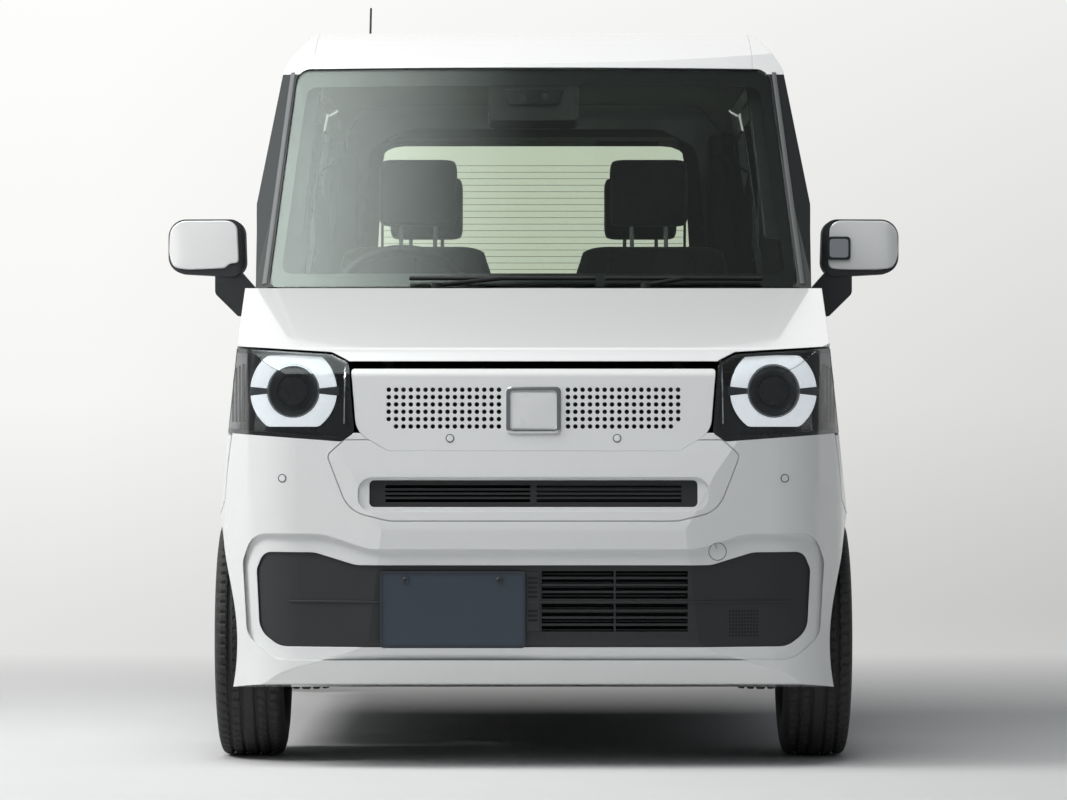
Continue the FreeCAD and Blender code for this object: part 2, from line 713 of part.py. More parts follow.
def headlamp():
    core = lower_form(lens_wall + seat_fit)
    housing = core.cut(lower_form(lamp_depth)).common(lamp_region(0))
    cavity = core.cut(lower_form(cavity_depth)).common(lamp_region(cavity_wall))
    housing = housing.cut(cavity)
    centre = V(breadth(ring_x_share), nose_y - overrun, level(ring_z_share))
    back = V(centre.x, station(lamp_rear_share), centre.z)
    ring = rod(centre, back, ring_outer).cut(rod(centre, back, ring_inner))
    ring = ring.common(block(0, car_width, -car_length, 0, centre.z - ring_half_height, centre.z + ring_half_height))
    ring = ring.common(lower_form(ring_sink).cut(lower_form(cavity_depth)))
    ring = ring.cut(block(0, car_width, -car_length, 0, centre.z - ring_gap_half, centre.z + ring_gap_half))
    lens = rod(centre, back, projector_radius).common(lower_form(projector_sink).cut(lower_form(cavity_depth)))
    return housing.fuse(ring).fuse(lens).removeSplitter()


lamp_lens = low_outer.cut(lower_form(lens_wall)).common(lamp_region(0))
save("headlamps", pair(headlamp()))
save("headlamp_lenses", pair(lamp_lens))

# Front frame: rails, strut towers, wheel liners, radiator and bumper beams
rail_in = 345.0
rail_low = 425.0
rail_high = 560.0
apron_wall = 12.0
tower_half = 100.0
tower_top = 872.0
tower_plate = 12.0
tower_low = 600.0
strut_top_x = 500.0
rod_hole_radius = 12.0
beam_width = 45.0
beam_share = 0.0405
radiator_low = 256.0
radiator_high = 850.0
radiator_half = 330.0
radiator_wall = 26.0
bumper_beam_low = 495.0
bumper_beam_high = 575.0
bumper_beam_wall = 40.0
stop_radius = 14.0


def front_frame():
    back_y = station(bulkhead_front_share) - seat_fit
    beam_y = station(beam_share)
    inside = lower_form(nose_wall + seat_fit)
    rail = block(rail_in, rail_out, beam_y, back_y, rail_low, rail_high)
    apron = block(rail_out, rail_out + apron_wall, station(0.085), back_y, rail_low, tower_top)
    tower = block(rail_out, rail_out + tower_half + tower_half, front_axle_y - tower_half, front_axle_y + tower_half,
                  tower_low, tower_top)
    tower = tower.cut(block(rail_out + apron_wall, rail_out + tower_half + tower_half - apron_wall,
                            front_axle_y - tower_half + apron_wall, front_axle_y + tower_half - apron_wall,
                            tower_low - apron_wall, tower_top - tower_plate))
    top = V(strut_top_x, front_axle_y, tower_top - tower_plate - apron_wall)
    tower = tower.cut(rod(top, top + V(0, 0, tower_plate + apron_wall + apron_wall), rod_hole_radius))
    liner_start = V(rail_out, front_axle_y, tyre_radius)
    liner_end = V(car_width, front_axle_y, tyre_radius)
    liner = rod(liner_start, liner_end, arch_radius + liner_wall).cut(rod(liner_start, liner_end, arch_radius))
    liner = liner.common(block(rail_out, car_width, -car_length, 0, level(0.200), car_height)).common(inside)
    liner = liner.cut(block(rail_out + apron_wall, rail_out + tower_half + tower_half - apron_wall,
                            front_axle_y - tower_half + apron_wall, front_axle_y + tower_half - apron_wall,
                            level(0.300), tower_top))
    half = rail.fuse(apron).fuse(tower).fuse(liner)
    crush = block(rail_in, rail_out, nose_y, beam_y + beam_width, bumper_beam_low, bumper_beam_high)
    half = half.fuse(crush.common(inside))
    upper = block(-breadth(lamp_shares[0][0]) - half_gap + seat_fit, breadth(lamp_shares[0][0]) + half_gap - seat_fit,
                  beam_y, beam_y + beam_width, radiator_high, radiator_high + beam_width)
    radiator = block(-radiator_half, radiator_half, beam_y + seat_fit, beam_y + radiator_wall, radiator_low,
                     radiator_high)
    posts = pair(block(rail_in - beam_width, rail_in, beam_y, beam_y + beam_width, radiator_low, radiator_high))
    cross = block(-rail_out, rail_out, beam_y, beam_y + beam_width, radiator_low - beam_width, radiator_low)
    beam = inside.cut(lower_form(nose_wall + bumper_beam_wall))
    beam = beam.common(block(-rail_out, rail_out, nose_y, station(0.06), bumper_beam_low, bumper_beam_high))
    frame = half.fuse(mirrored(half)).fuse(upper).fuse(radiator).fuse(cross).fuse(beam)
    for post in posts.Solids:
        frame = frame.fuse(post)
    for x in (-radiator_half, radiator_half):
        foot = V(x, beam_y + beam_width / 2, radiator_high)
        frame = frame.fuse(rod(foot, foot + V(0, 0, car_height), stop_radius).common(inside))
    panel_arm = block(-radiator_half, radiator_half, nose_y, beam_y, radiator_high, radiator_high + apron_wall)
    frame = frame.fuse(panel_arm.common(lower_form(panel_sink + panel_wall + seat_fit)))
    return frame.removeSplitter()


save("front_frame", front_frame())

# Floor pan with rear wheelhouses and the low rear crossmember
floor_shares = [
    (0.2105, 0.420, 0.0), (0.232, 0.156, 0.030), (0.715, 0.156, 0.010), (0.738, 0.262, 0.010),
    (1.000, 0.262, 0.0), (1.000, 0.246, 0.0), (0.748, 0.246, 0.010), (0.727, 0.070, 0.0), (0.219, 0.070, 0.0),
    (0.2105, 0.150, 0.0),
]
rear_panel_front_share = 0.958
wheelhouse_inner = 560.0
wheelhouse_wall = 10.0
board_half = 520.0
board_wall = 10.0
board_front_share = 0.886
board_rear_share = 0.966


def floor_pan():
    trim = lower_form(door_wall + seat_fit)
    floor = across(side_outline(floor_shares), -car_width, car_width)
    floor = floor.fuse(block(-car_width, car_width, station(rear_panel_front_share), -nose_y, 0, level(0.25)))
    house_start = V(wheelhouse_inner - wheelhouse_wall, rear_axle_y, tyre_radius)
    house_end = V(car_width, rear_axle_y, tyre_radius)
    house = rod(house_start, house_end, arch_radius + wheelhouse_wall)
    house = house.common(block(0, car_width, 0, car_length, level(0.246), car_height))
    floor = floor.fuse(house).fuse(mirrored(house))
    arch = arch_space(rear_axle_y, wheelhouse_inner)
    floor = floor.cut(arch).cut(mirrored(arch)).cut(front_houses).common(trim)
    board_low = level(floor_shares[4][1])
    board = block(-board_half, board_half, station(board_front_share), station(board_rear_share), board_low - board_wall,
                  board_low + board_wall)
    return floor.fuse(board).removeSplitter()


floor = floor_pan()
save("floor_pan", floor)

# Tailgate with its window cut and a flat seat for the number plate
plate_width = 330.0
plate_height = 165.0
plate_fit = 8.0
plate_middle_share = 0.415
plate_recess = 22.0
plate_bolt_spacing = 210.0
plate_bolt_radius = 3.5
plate_bolt_rise = 60.0


def tailgate():
    gate = shell.common(rear_region(tailgate_outline_shares, half_gap)).cut(rear_region(rear_window_outline_shares))
    middle_z = level(plate_middle_share)
    back_y = station(0.9935)
    gate = gate.cut(block(-plate_width / 2 - plate_fit, plate_width / 2 + plate_fit, back_y - plate_recess,
                          back_y + overrun, middle_z - plate_height / 2 - plate_fit,
                          middle_z + plate_height / 2 + plate_fit))
    for x in (-plate_bolt_spacing / 2, plate_bolt_spacing / 2):
        start = V(x, back_y - overrun, middle_z + plate_bolt_rise)
        gate = gate.cut(rod(start, start + V(0, overrun + overrun, 0), plate_bolt_radius))
    return gate.removeSplitter()


save("tailgate", tailgate())
save("tailgate_glass", glass.common(rear_region(rear_window_outline_shares, pane_fit)))
rear_bumper = shell.common(across(side_outline(rear_bumper_shares, half_gap), -car_width, car_width))
rear_bumper = rear_bumper.cut(rear_arch).cut(mirrored(rear_arch))
rear_bumper = rear_bumper.common(block(-car_width, car_width, station(0.94), -nose_y + overrun, 0, car_height))
save("rear_bumper", rear_bumper.Solids[0] if len(rear_bumper.Solids) == 1 else rear_bumper)
tail_lamp_wall = 40.0
tail_lamp = outer.cut(whole_form(tail_lamp_wall))
tail_lamp = tail_lamp.common(along(front_outline(tail_lamp_shares), station(tail_lamp_front_share) + seat_fit, -nose_y + overrun))
save("tail_lamps", pair(tail_lamp))

# Wipers, each a pivot on the cowl, an arm and a blade that lies over the foot of the screen
wiper_radius = 5.0
wiper_pivot_radius = 12.0
wiper_clear = 6.0
wiper_blade_height = 12.0
wiper_pivot_share = 0.1790
wiper_foot_share = 0.6075
wiper_head_share = 0.6180
wiper_blade_share = 0.6250


def screen_y(x, z):
    """Place of the windscreen's outer face at a distance from the middle and a height."""
    foot_y = station(screen_foot_share)
    rise = level(screen_head_level_share) - level(screen_foot_level_share)
    slope = (station(screen_head_share) - foot_y) / rise
    radius = screen_bow - slope * (z - level(screen_foot_level_share))
    return foot_y + screen_bow - math.sqrt(radius * radius - x * x)


def wiper(pivot_x_share, blade_start_share, blade_end_share):
    blade_z = level(wiper_blade_share)
    points = []
    for share in (blade_start_share, (blade_start_share + blade_end_share) / 2, blade_end_share):
        x = breadth(share)
        points.append(V(x, screen_y(x, blade_z) - wiper_clear - wiper_radius, blade_z))
    blade = rod(points[0], points[1], wiper_radius).fuse(rod(points[1], points[2], wiper_radius))
    foot = V(breadth(pivot_x_share), station(wiper_pivot_share), level(wiper_foot_share))
    head = V(foot.x, foot.y, level(wiper_head_share))
    pivot = rod(foot, head, wiper_pivot_radius).cut(cowl)
    arm = rod(head - V(0, 0, wiper_radius), points[1], wiper_radius)
    return blade.fuse(arm).fuse(pivot).removeSplitter()


driver_wiper = wiper(-0.310, -0.400, 0.200)
side_wiper = wiper(0.360, 0.230, 0.740)
save("wipers", Part.makeCompound(driver_wiper.Solids + side_wiper.Solids))

# Engine, tank and exhaust
engine_half = 250.0
engine_front_share = 0.068
engine_rear_share = 0.160
engine_low = 260.0
engine_high = 800.0
engine_corner_share = 0.030
engine = across(side_outline([
    (engine_front_share, 0.150, engine_corner_share), (engine_front_share + 0.012, 0.440, engine_corner_share),
    (engine_rear_share, 0.440, engine_corner_share), (engine_rear_share, 0.150, engine_corner_share),
]), -engine_half, engine_half)
engine_mount = block(-rail_in + seat_fit, rail_in - seat_fit, station(0.105), station(0.125), rail_low + liner_wall,
                     rail_high - liner_wall)
save("engine_block", engine.fuse(engine_mount).removeSplitter())
tank_low = 178.0
tank_half = 210.0
tank_front_share = 0.365
tank_rear_share = 0.560
tank_x = 260.0
tank = block(tank_x - tank_half, tank_x + tank_half, station(tank_front_share), station(tank_rear_share), tank_low,
             tank_low + tank_half).cut(lower_form(door_wall))
save("fuel_tank", tank.Solids[0])

pipe_radius = 21.0
pipe_x = -190.0
pipe_z = 205.0
pipe_head_z = 360.0
silencer_radius = 75.0
silencer_front_share = 0.890
silencer_z = 340.0
tail_pipe_end_share = 0.974
tail_pipe_end_z = 212.0
hanger_radius = 6.0


def exhaust():
    points = [
        V(pipe_x, station(engine_rear_share) + seat_fit, pipe_head_z), V(pipe_x, station(0.173), pipe_head_z),
        V(pipe_x, station(0.190), pipe_z), V(pipe_x, station(0.736), pipe_z), V(pipe_x, station(0.776), silencer_z),
        V(pipe_x, station(silencer_front_share + 0.02), silencer_z),
    ]
    pipe = rod(points[0], points[1], pipe_radius)
    for start, end in zip(points[1:], points[2:]):
        pipe = pipe.fuse(Part.makeSphere(pipe_radius, start)).fuse(rod(start, end, pipe_radius))
    half = silencer_radius + silencer_radius
    can = rod(V(pipe_x - half, station(0.925), silencer_z), V(pipe_x + silencer_radius, station(0.925), silencer_z),
              silencer_radius)
    tail_start = V(pipe_x - half + pipe_radius + pipe_radius, station(0.925), silencer_z - pipe_radius)
    tail = rod(tail_start, V(tail_start.x, station(tail_pipe_end_share), tail_pipe_end_z), pipe_radius)
    body = pipe.fuse(can).fuse(tail)
    for share in (0.840, 0.925):
        start = V(pipe_x, station(share), silencer_z)
        hanger = rod(start, V(pipe_x, station(share), level(0.246) - seat_fit), hanger_radius)
        body = body.fuse(hanger)
    return body.removeSplitter()


save("exhaust", exhaust())

# Front suspension: crossmember with lower arms that reach under the ball joints
ball_x = 590.0
ball_z = 190.0
arm_wall = 14.0
arm_tip = 26.0
arm_root = 70.0
cross_half = 55.0
cross_x = 400.0
cross_low = 165.0


def front_suspension():
    cross = block(-cross_x, cross_x, front_axle_y - cross_half, front_axle_y + cross_half, cross_low,
                  cross_low + cross_half)
    top = ball_z - seat_fit
    arm = outline([
        (cross_x - cross_half, front_axle_y - arm_root, 0.0), (ball_x, front_axle_y - arm_tip, arm_tip - liner_wall),
        (ball_x + arm_tip, front_axle_y, arm_tip - liner_wall), (ball_x, front_axle_y + arm_tip, arm_tip - liner_wall),
        (cross_x - cross_half, front_axle_y + arm_root, 0.0),
    ], plan_place)
    arm = upright(arm, top - arm_wall, top)
    post = block(rail_in, rail_out, front_axle_y - cross_half, front_axle_y + cross_half, cross_low,
                 rail_low - seat_fit)
    body = cross.fuse(arm).fuse(mirrored(arm)).fuse(post).fuse(mirrored(post))
    return body.removeSplitter()


save("front_suspension", front_suspension())

# Steering knuckles with the struts that turn with them about the kingpin line
knuckle_half = 46.0
knuckle_front_x = 600.0
knuckle_wall = 34.0
strut_radius = 22.0
strut_low_x = 534.0
strut_low_z = 340.0
spring_radius = 50.0
spring_low = 640.0
spring_high = 830.0
seat_wall = 8.0
rod_radius = 9.0
disc_start = 16.0
disc_wall = 18.0


def knuckle():
    hub = rod(V(knuckle_front_x - knuckle_wall, front_axle_y, tyre_radius), V(knuckle_front_x, front_axle_y, tyre_radius),
              knuckle_half)
    stub = rod(V(knuckle_front_x - knuckle_wall, front_axle_y, tyre_radius),
               V(wheel_x + disc_start + disc_wall, front_axle_y, tyre_radius), stub_radius)
    lean = (ball_x - strut_top_x) / (tower_top - tower_plate - ball_z)
    ball = V(ball_x - lean * stub_radius, front_axle_y, ball_z + stub_radius)
    boss = rod(ball, V(ball.x, front_axle_y, tyre_radius), stub_radius).fuse(Part.makeSphere(stub_radius, ball))
    low = V(strut_low_x, front_axle_y, strut_low_z)
    top = V(strut_top_x, front_axle_y, tower_top - tower_plate - seat_fit)
    way = top - low
    tube_end = low + way * ((spring_low - strut_low_z) / way.z)
    spring_end = low + way * ((spring_high - strut_low_z) / way.z)
    tube = rod(low, tube_end, strut_radius)
    spring = rod(tube_end, spring_end, spring_radius)
    piston = rod(spring_end, top - V(0, 0, rod_radius), rod_radius).fuse(
        rod(top - V(0, 0, rod_radius + rod_radius), top, rod_radius))
    bracket = block(strut_low_x, knuckle_front_x - knuckle_wall / 2, front_axle_y - strut_radius,
                    front_axle_y + strut_radius, tyre_radius, strut_low_z + knuckle_half)
    bracket = bracket.cut(block(ball_x - stub_radius, car_width, -car_length, car_length,
                                tyre_radius + knuckle_half + knuckle_half, car_height))
    return hub.fuse(stub).fuse(boss).fuse(tube).fuse(spring).fuse(piston).fuse(bracket).removeSplitter()


left_knuckle = knuckle()
save("knuckle_left", left_knuckle)
save("knuckle_right", mirrored(left_knuckle))

# Rear axle: twist beam, trailing arms, stub axles and dampers
trail_in = 480.0
trail_out = 540.0
trail_front_share = 0.752
trail_half_height = 26.0
beam_y_share = 0.800
beam_half = 34.0
damper_radius = 24.0
rear_spring_radius = 48.0
rear_spring_x = 400.0


def rear_axle():
    ceiling = level(0.246) - seat_fit
    arm = block(trail_in, trail_out, station(trail_front_share), rear_axle_y + knuckle_half,
                tyre_radius - trail_half_height, tyre_radius + trail_half_height)
    bush = block(trail_in, trail_out, station(trail_front_share), station(trail_front_share) + knuckle_half,
                 tyre_radius, ceiling)
    hub = rod(V(trail_out, rear_axle_y, tyre_radius), V(knuckle_front_x, rear_axle_y, tyre_radius), knuckle_half)
    stub = rod(V(trail_in, rear_axle_y, tyre_radius), V(wheel_x + disc_start + disc_wall, rear_axle_y, tyre_radius),
               stub_radius)
    middle_x = (trail_in + trail_out) / 2
    damper = rod(V(middle_x, rear_axle_y, tyre_radius), V(middle_x, rear_axle_y, ceiling), damper_radius)
    spring_foot = V(rear_spring_x, station(beam_y_share), tyre_radius)
    spring = rod(spring_foot, V(spring_foot.x, spring_foot.y, ceiling), rear_spring_radius)
    half = arm.fuse(bush).fuse(hub).fuse(stub).fuse(damper)
    beam = block(-middle_x, middle_x, station(beam_y_share) - beam_half, station(beam_y_share) + beam_half,
                 tyre_radius - trail_half_height, tyre_radius + trail_half_height)
    return beam.fuse(half).fuse(mirrored(half)).fuse(spring).fuse(mirrored(spring)).removeSplitter()


save("rear_axle", rear_axle())

# Wheels and tyres, turned about their axles
rim_half = 57.0
tyre_bulge_rise = 50.0
tyre_shoulder_drop = 9.0
tread_half = 55.0
shoulder_half = 71.0


def turned(profile, axle_y):
    """Profile of places across and radii, turned about the wheel's axle."""
    edges = [V(wheel_x + x, axle_y, tyre_radius + r) for x, r in profile]
    wire = Part.makePolygon(edges + [edges[0]])
    return Part.Face(wire).revolve(V(wheel_x, axle_y, tyre_radius), V(1, 0, 0), 360)


def tyre(axle_y):
    bead = rim_radius + seat_fit
    shoulder = tyre_radius - tyre_shoulder_drop
    return turned([
        (-rim_half, bead), (rim_half, bead), (tyre_width / 2, rim_radius + tyre_bulge_rise),
        (shoulder_half, shoulder), (tread_half, tyre_radius), (-tread_half, tyre_radius),
        (-shoulder_half, shoulder), (-tyre_width / 2, rim_radius + tyre_bulge_rise),
    ], axle_y)


def wheel(axle_y):
    bore = stub_radius + stub_clearance
    inner = rim_radius - rim_wall
    disc_end = disc_start + disc_wall
    return turned([
        (-rim_half, rim_radius), (rim_half, rim_radius), (rim_half, inner), (disc_end + rim_wall, inner - disc_wall),
        (disc_end, hub_radius), (disc_end, bore), (disc_start, bore), (disc_start, inner), (-rim_half, inner),
    ], axle_y)


for end_name, axle_y in (("front", front_axle_y), ("rear", rear_axle_y)):
    left_tyre = tyre(axle_y)
    left_wheel = wheel(axle_y)
    save("tyre_" + end_name + "_left", left_tyre)
    save("tyre_" + end_name + "_right", mirrored(left_tyre))
    save("wheel_" + end_name + "_left", left_wheel)
    save("wheel_" + end_name + "_right", mirrored(left_wheel))

# Dashboard and steering wheel
dash_half_share = 0.850
dash_shares = [
    (bulkhead_rear_share, 0.4230, 0.0), (bulkhead_rear_share, 0.5800, 0.0), (0.235, 0.600, 0.010),
    (0.300, 0.600, 0.015), (0.328, 0.575, 0.015), (0.322, 0.460, 0.020), (0.285, 0.380, 0.020),
]
dashboard = across(side_outline(dash_shares), -breadth(dash_half_share), breadth(dash_half_share))
dashboard.translate(V(0, seat_fit, 0))
save("dashboard", dashboard.common(hollow_form(seat_fit)).removeSplitter())

driver_x = -325.0
steer_y_share = 0.362
steer_z_share = 0.580
steer_radius = 180.0
steer_grip = 14.0
steer_hub_radius = 62.0
steer_tilt_y = 0.90
steer_tilt_z = 0.42
spoke_half = 16.0


def steering_wheel():
    centre = V(driver_x, station(steer_y_share), level(steer_z_share))
    axis = V(0, steer_tilt_y, steer_tilt_z).normalize()
    across_axis = V(1, 0, 0)
    points = []
    for index in range(6):
        angle = math.radians(60 * index)
        points.append(centre + across_axis * (steer_radius + steer_grip * math.cos(angle))
                      + axis * (steer_grip * math.sin(angle)))
    rim = Part.Face(Part.makePolygon(points + [points[0]])).revolve(centre, axis, 360)
    hub = rod(centre - axis * (steer_grip + steer_grip), centre + axis * steer_grip, steer_hub_radius)
    spokes = rod(centre - across_axis * steer_radius, centre + across_axis * steer_radius, steer_grip / 2)
    down = axis.cross(across_axis)
    lower = rod(centre, centre - down * steer_radius if down.z > 0 else centre + down * steer_radius, steer_grip / 2)
    column_end = centre - axis * (steer_radius + steer_grip)
    column = rod(centre, column_end, hub_radius - rim_wall)
    wheel_body = rim.fuse(hub).fuse(spokes).fuse(lower).fuse(column)
    return wheel_body.cut(grown_dash()).removeSplitter()


def grown_dash():
    wire = side_outline(dash_shares, -seat_fit)
    body = across(wire, -breadth(dash_half_share), breadth(dash_half_share))
    body.translate(V(0, seat_fit, 0))
    return body


wheel_solids = steering_wheel().Solids
save("steering_wheel", max(wheel_solids, key=lambda solid: solid.Volume))

# Seats: cushions, backs and head restraints, with rounded side outlines
seat_in = 95.0
seat_out = 535.0
rest_in = 195.0
rest_out = 415.0
seat_base_shares = [(0.400, 0.1563, 0.0), (0.400, 0.345, 0.0), (0.545, 0.330, 0.0), (0.545, 0.1563, 0.0)]
seat_cushion_shares = [
    (0.385, 0.338, 0.020), (0.382, 0.392, 0.022), (0.520, 0.378, 0.020), (0.552, 0.376, 0.010), (0.552, 0.322, 0.010),
]
seat_back_shares = [
    (0.525, 0.3700, 0.0), (0.545, 0.690, 0.024), (0.580, 0.690, 0.024), (0.568, 0.360, 0.020), (0.550, 0.360, 0.0),
]
head_rest_shares = [
    (0.548, 0.722, 0.020), (0.551, 0.820, 0.020), (0.578, 0.822, 0.020), (0.579, 0.722, 0.016),
]
rest_post_shares = [(0.560, 0.680, 0.0), (0.561, 0.735, 0.0), (0.565, 0.735, 0.0), (0.565, 0.680, 0.0)]
rear_shift_share = 0.292
rear_base_shares = [(0.7450, 0.2623, 0.0), (0.7450, 0.340, 0.0), (0.840, 0.330, 0.0), (0.840, 0.2623, 0.0)]


def moved_back(shares, shift):
    return [(y + shift, z, r) for y, z, r in shares]


def seat(shift, base_shares):
    base = across(side_outline(base_shares), seat_in + seat_wall, seat_out - seat_wall)
    cushion = across(side_outline(moved_back(seat_cushion_shares, shift)), seat_in, seat_out)
    back = across(side_outline(moved_back(seat_back_shares, shift)), seat_in, seat_out)
    rest = across(side_outline(moved_back(head_rest_shares, shift)), rest_in, rest_out)
    middle = (rest_in + rest_out) / 2
    post = across(side_outline(moved_back(rest_post_shares, shift)), middle - spoke_half, middle + spoke_half)
    return base.cut(cushion).fuse(cushion).fuse(back).fuse(rest).fuse(post).removeSplitter()


save("front_seats", pair(seat(0.0, seat_base_shares)))
save("rear_seats", pair(seat(rear_shift_share, rear_base_shares)))

# Antenna on the rear half of the roof and the rear wiper
antenna_x = -470.0
antenna_foot_share = 0.870
antenna_lean_share = 0.035
antenna_rise = 190.0
antenna_radius = 3.0
antenna_foot_radius = 17.0
antenna_foot_height = 16.0


def antenna():
    foot_y = station(antenna_foot_share)
    foot = rod(V(antenna_x, foot_y, car_height - overrun), V(antenna_x, foot_y, car_height + antenna_foot_height),
               antenna_foot_radius).cut(whole_form(-seat_fit))
    start = V(antenna_x, foot_y, car_height - antenna_foot_height)
    end = V(antenna_x, station(antenna_foot_share + antenna_lean_share), start.z + antenna_rise)
    return foot.fuse(rod(start, end, antenna_radius).cut(whole_form(-seat_fit))).removeSplitter()


antenna_solids = antenna().Solids
save("antenna", max(antenna_solids, key=lambda solid: solid.BoundBox.ZMax))

rear_wiper_x = 40.0
rear_pivot_share = 0.6265
rear_blade_share = 0.6560
rear_wiper_length = 330.0
rear_wiper_radius = 5.0
rear_pivot_height = 26.0


def tail_skin_y(x, z):
    """Outermost place of the tail on a line along the car."""
    probe = Part.makeLine(V(x, 0, z), V(x, -nose_y + overrun, z))
    return outer.common(probe).BoundBox.YMax


def rear_wiper():
    """Pivot under the rear window with an arm and blade that lie over its lower edge."""
    pivot_z = level(rear_pivot_share)
    blade_z = level(rear_blade_share)
    end_x = rear_wiper_x - rear_wiper_length
    skin_y = tail_skin_y(rear_wiper_x, pivot_z)
    foot = V(rear_wiper_x, skin_y - rear_pivot_height, pivot_z)
    pivot = rod(foot, V(rear_wiper_x, skin_y + rear_pivot_height, pivot_z), wiper_pivot_radius)
    pivot = pivot.cut(whole_form(-seat_fit))
    start = V(rear_wiper_x, skin_y + rear_pivot_height - rear_wiper_radius - rear_wiper_radius, pivot_z)
    end = V(end_x, tail_skin_y(end_x, blade_z) + wiper_clear + rear_wiper_radius, blade_z)
    return pivot.fuse(rod(start, end, rear_wiper_radius)).removeSplitter()


save("rear_wiper", rear_wiper())
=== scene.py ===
import math

import bmesh
import bpy
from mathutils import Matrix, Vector
from mathutils.bvhtree import BVHTree


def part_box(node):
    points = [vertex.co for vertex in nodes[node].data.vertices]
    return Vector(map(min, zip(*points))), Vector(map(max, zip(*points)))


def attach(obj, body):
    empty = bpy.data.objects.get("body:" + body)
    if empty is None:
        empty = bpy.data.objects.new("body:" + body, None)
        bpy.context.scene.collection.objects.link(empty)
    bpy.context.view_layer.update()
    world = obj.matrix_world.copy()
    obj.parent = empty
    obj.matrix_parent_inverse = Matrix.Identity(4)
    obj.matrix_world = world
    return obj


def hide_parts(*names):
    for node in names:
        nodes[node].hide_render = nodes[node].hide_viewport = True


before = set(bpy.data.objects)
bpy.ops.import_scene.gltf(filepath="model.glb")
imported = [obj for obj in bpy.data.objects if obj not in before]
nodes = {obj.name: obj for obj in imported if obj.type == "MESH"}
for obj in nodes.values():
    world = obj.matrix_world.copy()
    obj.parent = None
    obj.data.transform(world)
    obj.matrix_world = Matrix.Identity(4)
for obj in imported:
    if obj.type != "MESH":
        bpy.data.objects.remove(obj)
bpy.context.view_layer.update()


# Painted body panels: pressed steel sheet in pearl white, sprayed in three coats under a clear
# lacquer. The pillars and the frames of the side windows are finished in black over it.
pearl_white = (0.800, 0.808, 0.806)
gloss_black = (0.010, 0.011, 0.012)


def node(tree, kind, feeds=None, **settings):
    """Adds a node, sets its properties, then links or sets each socket that feeds names."""
    made = tree.nodes.new(kind)
    for key, value in settings.items():
        setattr(made, key, value)
    for socket, source in (feeds or {}).items():
        if isinstance(source, bpy.types.NodeSocket):
            tree.links.new(source, made.inputs[socket])
        else:
            made.inputs[socket].default_value = source
    return made


def maths(tree, operation, *feeds, **settings):
    """Result of a maths node on sockets or plain values."""
    return node(tree, "ShaderNodeMath", dict(enumerate(feeds)), operation=operation, **settings).outputs[0]


def blended(tree, share, first, second):
    """Colour between two, by a share."""
    return node(tree, "ShaderNodeMix", {"Factor": share, 6: first, 7: second}, data_type="RGBA").outputs[2]


def object_place(tree):
    return node(tree, "ShaderNodeTexCoord").outputs["Object"]


def new_material(name):
    """Material with its node tree and the sockets of its shader."""
    material = bpy.data.materials.new(name)
    material.use_nodes = True
    return material, material.node_tree, material.node_tree.nodes["Principled BSDF"].inputs


def surface_effect():
    """Shader group: slow change of tone, fine grain for a bump and a roughness that follows both."""
    group = bpy.data.node_groups.new("surface effect", "ShaderNodeTree")
    for name, value in (("Tone", (0.8, 0.8, 0.8, 1)), ("Worn Tone", (0.6, 0.6, 0.6, 1)), ("Change", 0.2),
                        ("Patch Scale", 5.0), ("Grain Scale", 600.0), ("Roughness", 0.4), ("Roughness Change", 0.08)):
        kind = "NodeSocketColor" if isinstance(value, tuple) else "NodeSocketFloat"
        group.interface.new_socket(name, in_out="INPUT", socket_type=kind).default_value = value
    for name, kind in (("Colour", "NodeSocketColor"), ("Roughness Out", "NodeSocketFloat"),
                       ("Height", "NodeSocketFloat")):
        group.interface.new_socket(name, in_out="OUTPUT", socket_type=kind)
    asked = node(group, "NodeGroupInput").outputs
    place = object_place(group)
    patch, grain = (
        node(group, "ShaderNodeTexNoise", {"Vector": place, "Scale": asked[scale], "Detail": detail}).outputs["Fac"]
        for scale, detail in (("Patch Scale", 4), ("Grain Scale", 2)))
    colour = blended(group, maths(group, "MULTIPLY", patch, asked["Change"]), asked["Tone"], asked["Worn Tone"])
    rough = maths(group, "MULTIPLY_ADD", patch, asked["Roughness Change"], asked["Roughness"])
    node(group, "NodeGroupOutput", {"Colour": colour, "Roughness Out": rough, "Height": grain})
    return group


effect = surface_effect()


def finish_of(name, tone, worn, roughness, change=0.3, patch=5.0, grain=600.0, depth=0.0001, edge=0.0,
              rough_change=0.06, masks=(), **plain):
    """Material on the surface effect; masks are (node-making function, tone, roughness) laid over it in turn."""
    material, tree, shader = new_material(name)
    base = node(tree, "ShaderNodeGroup", {
        "Tone": (*tone, 1), "Worn Tone": (*worn, 1), "Change": change, "Patch Scale": patch, "Grain Scale": grain,
        "Roughness": roughness, "Roughness Change": rough_change}, node_tree=effect).outputs
    colour, rough, covered = base["Colour"], base["Roughness Out"], None
    for make_mask, mask_tone, mask_roughness in masks:
        mask = make_mask(tree)
        colour = blended(tree, mask, colour, (*mask_tone, 1))
        rough = node(tree, "ShaderNodeMix", {"Factor": mask, "A": rough, "B": mask_roughness}).outputs["Result"]
        covered = mask if covered is None else maths(tree, "ADD", covered, mask)
    if masks:
        tree.links.new(maths(tree, "SUBTRACT", 1.0, covered, use_clamp=True), shader["Coat Weight"])
    bumps = {"Strength": 0.5, "Distance": depth, "Height": base["Height"]}
    if edge > 0:
        bumps["Normal"] = node(tree, "ShaderNodeBevel", {"Radius": edge}, samples=4).outputs["Normal"]
    normal = node(tree, "ShaderNodeBump", bumps).outputs["Normal"]
    for socket, source in (("Base Color", colour), ("Roughness", rough), ("Normal", normal)):
        tree.links.new(source, shader[socket])
    for socket, value in plain.items():
        shader[socket.replace("_", " ")].default_value = value
    return material


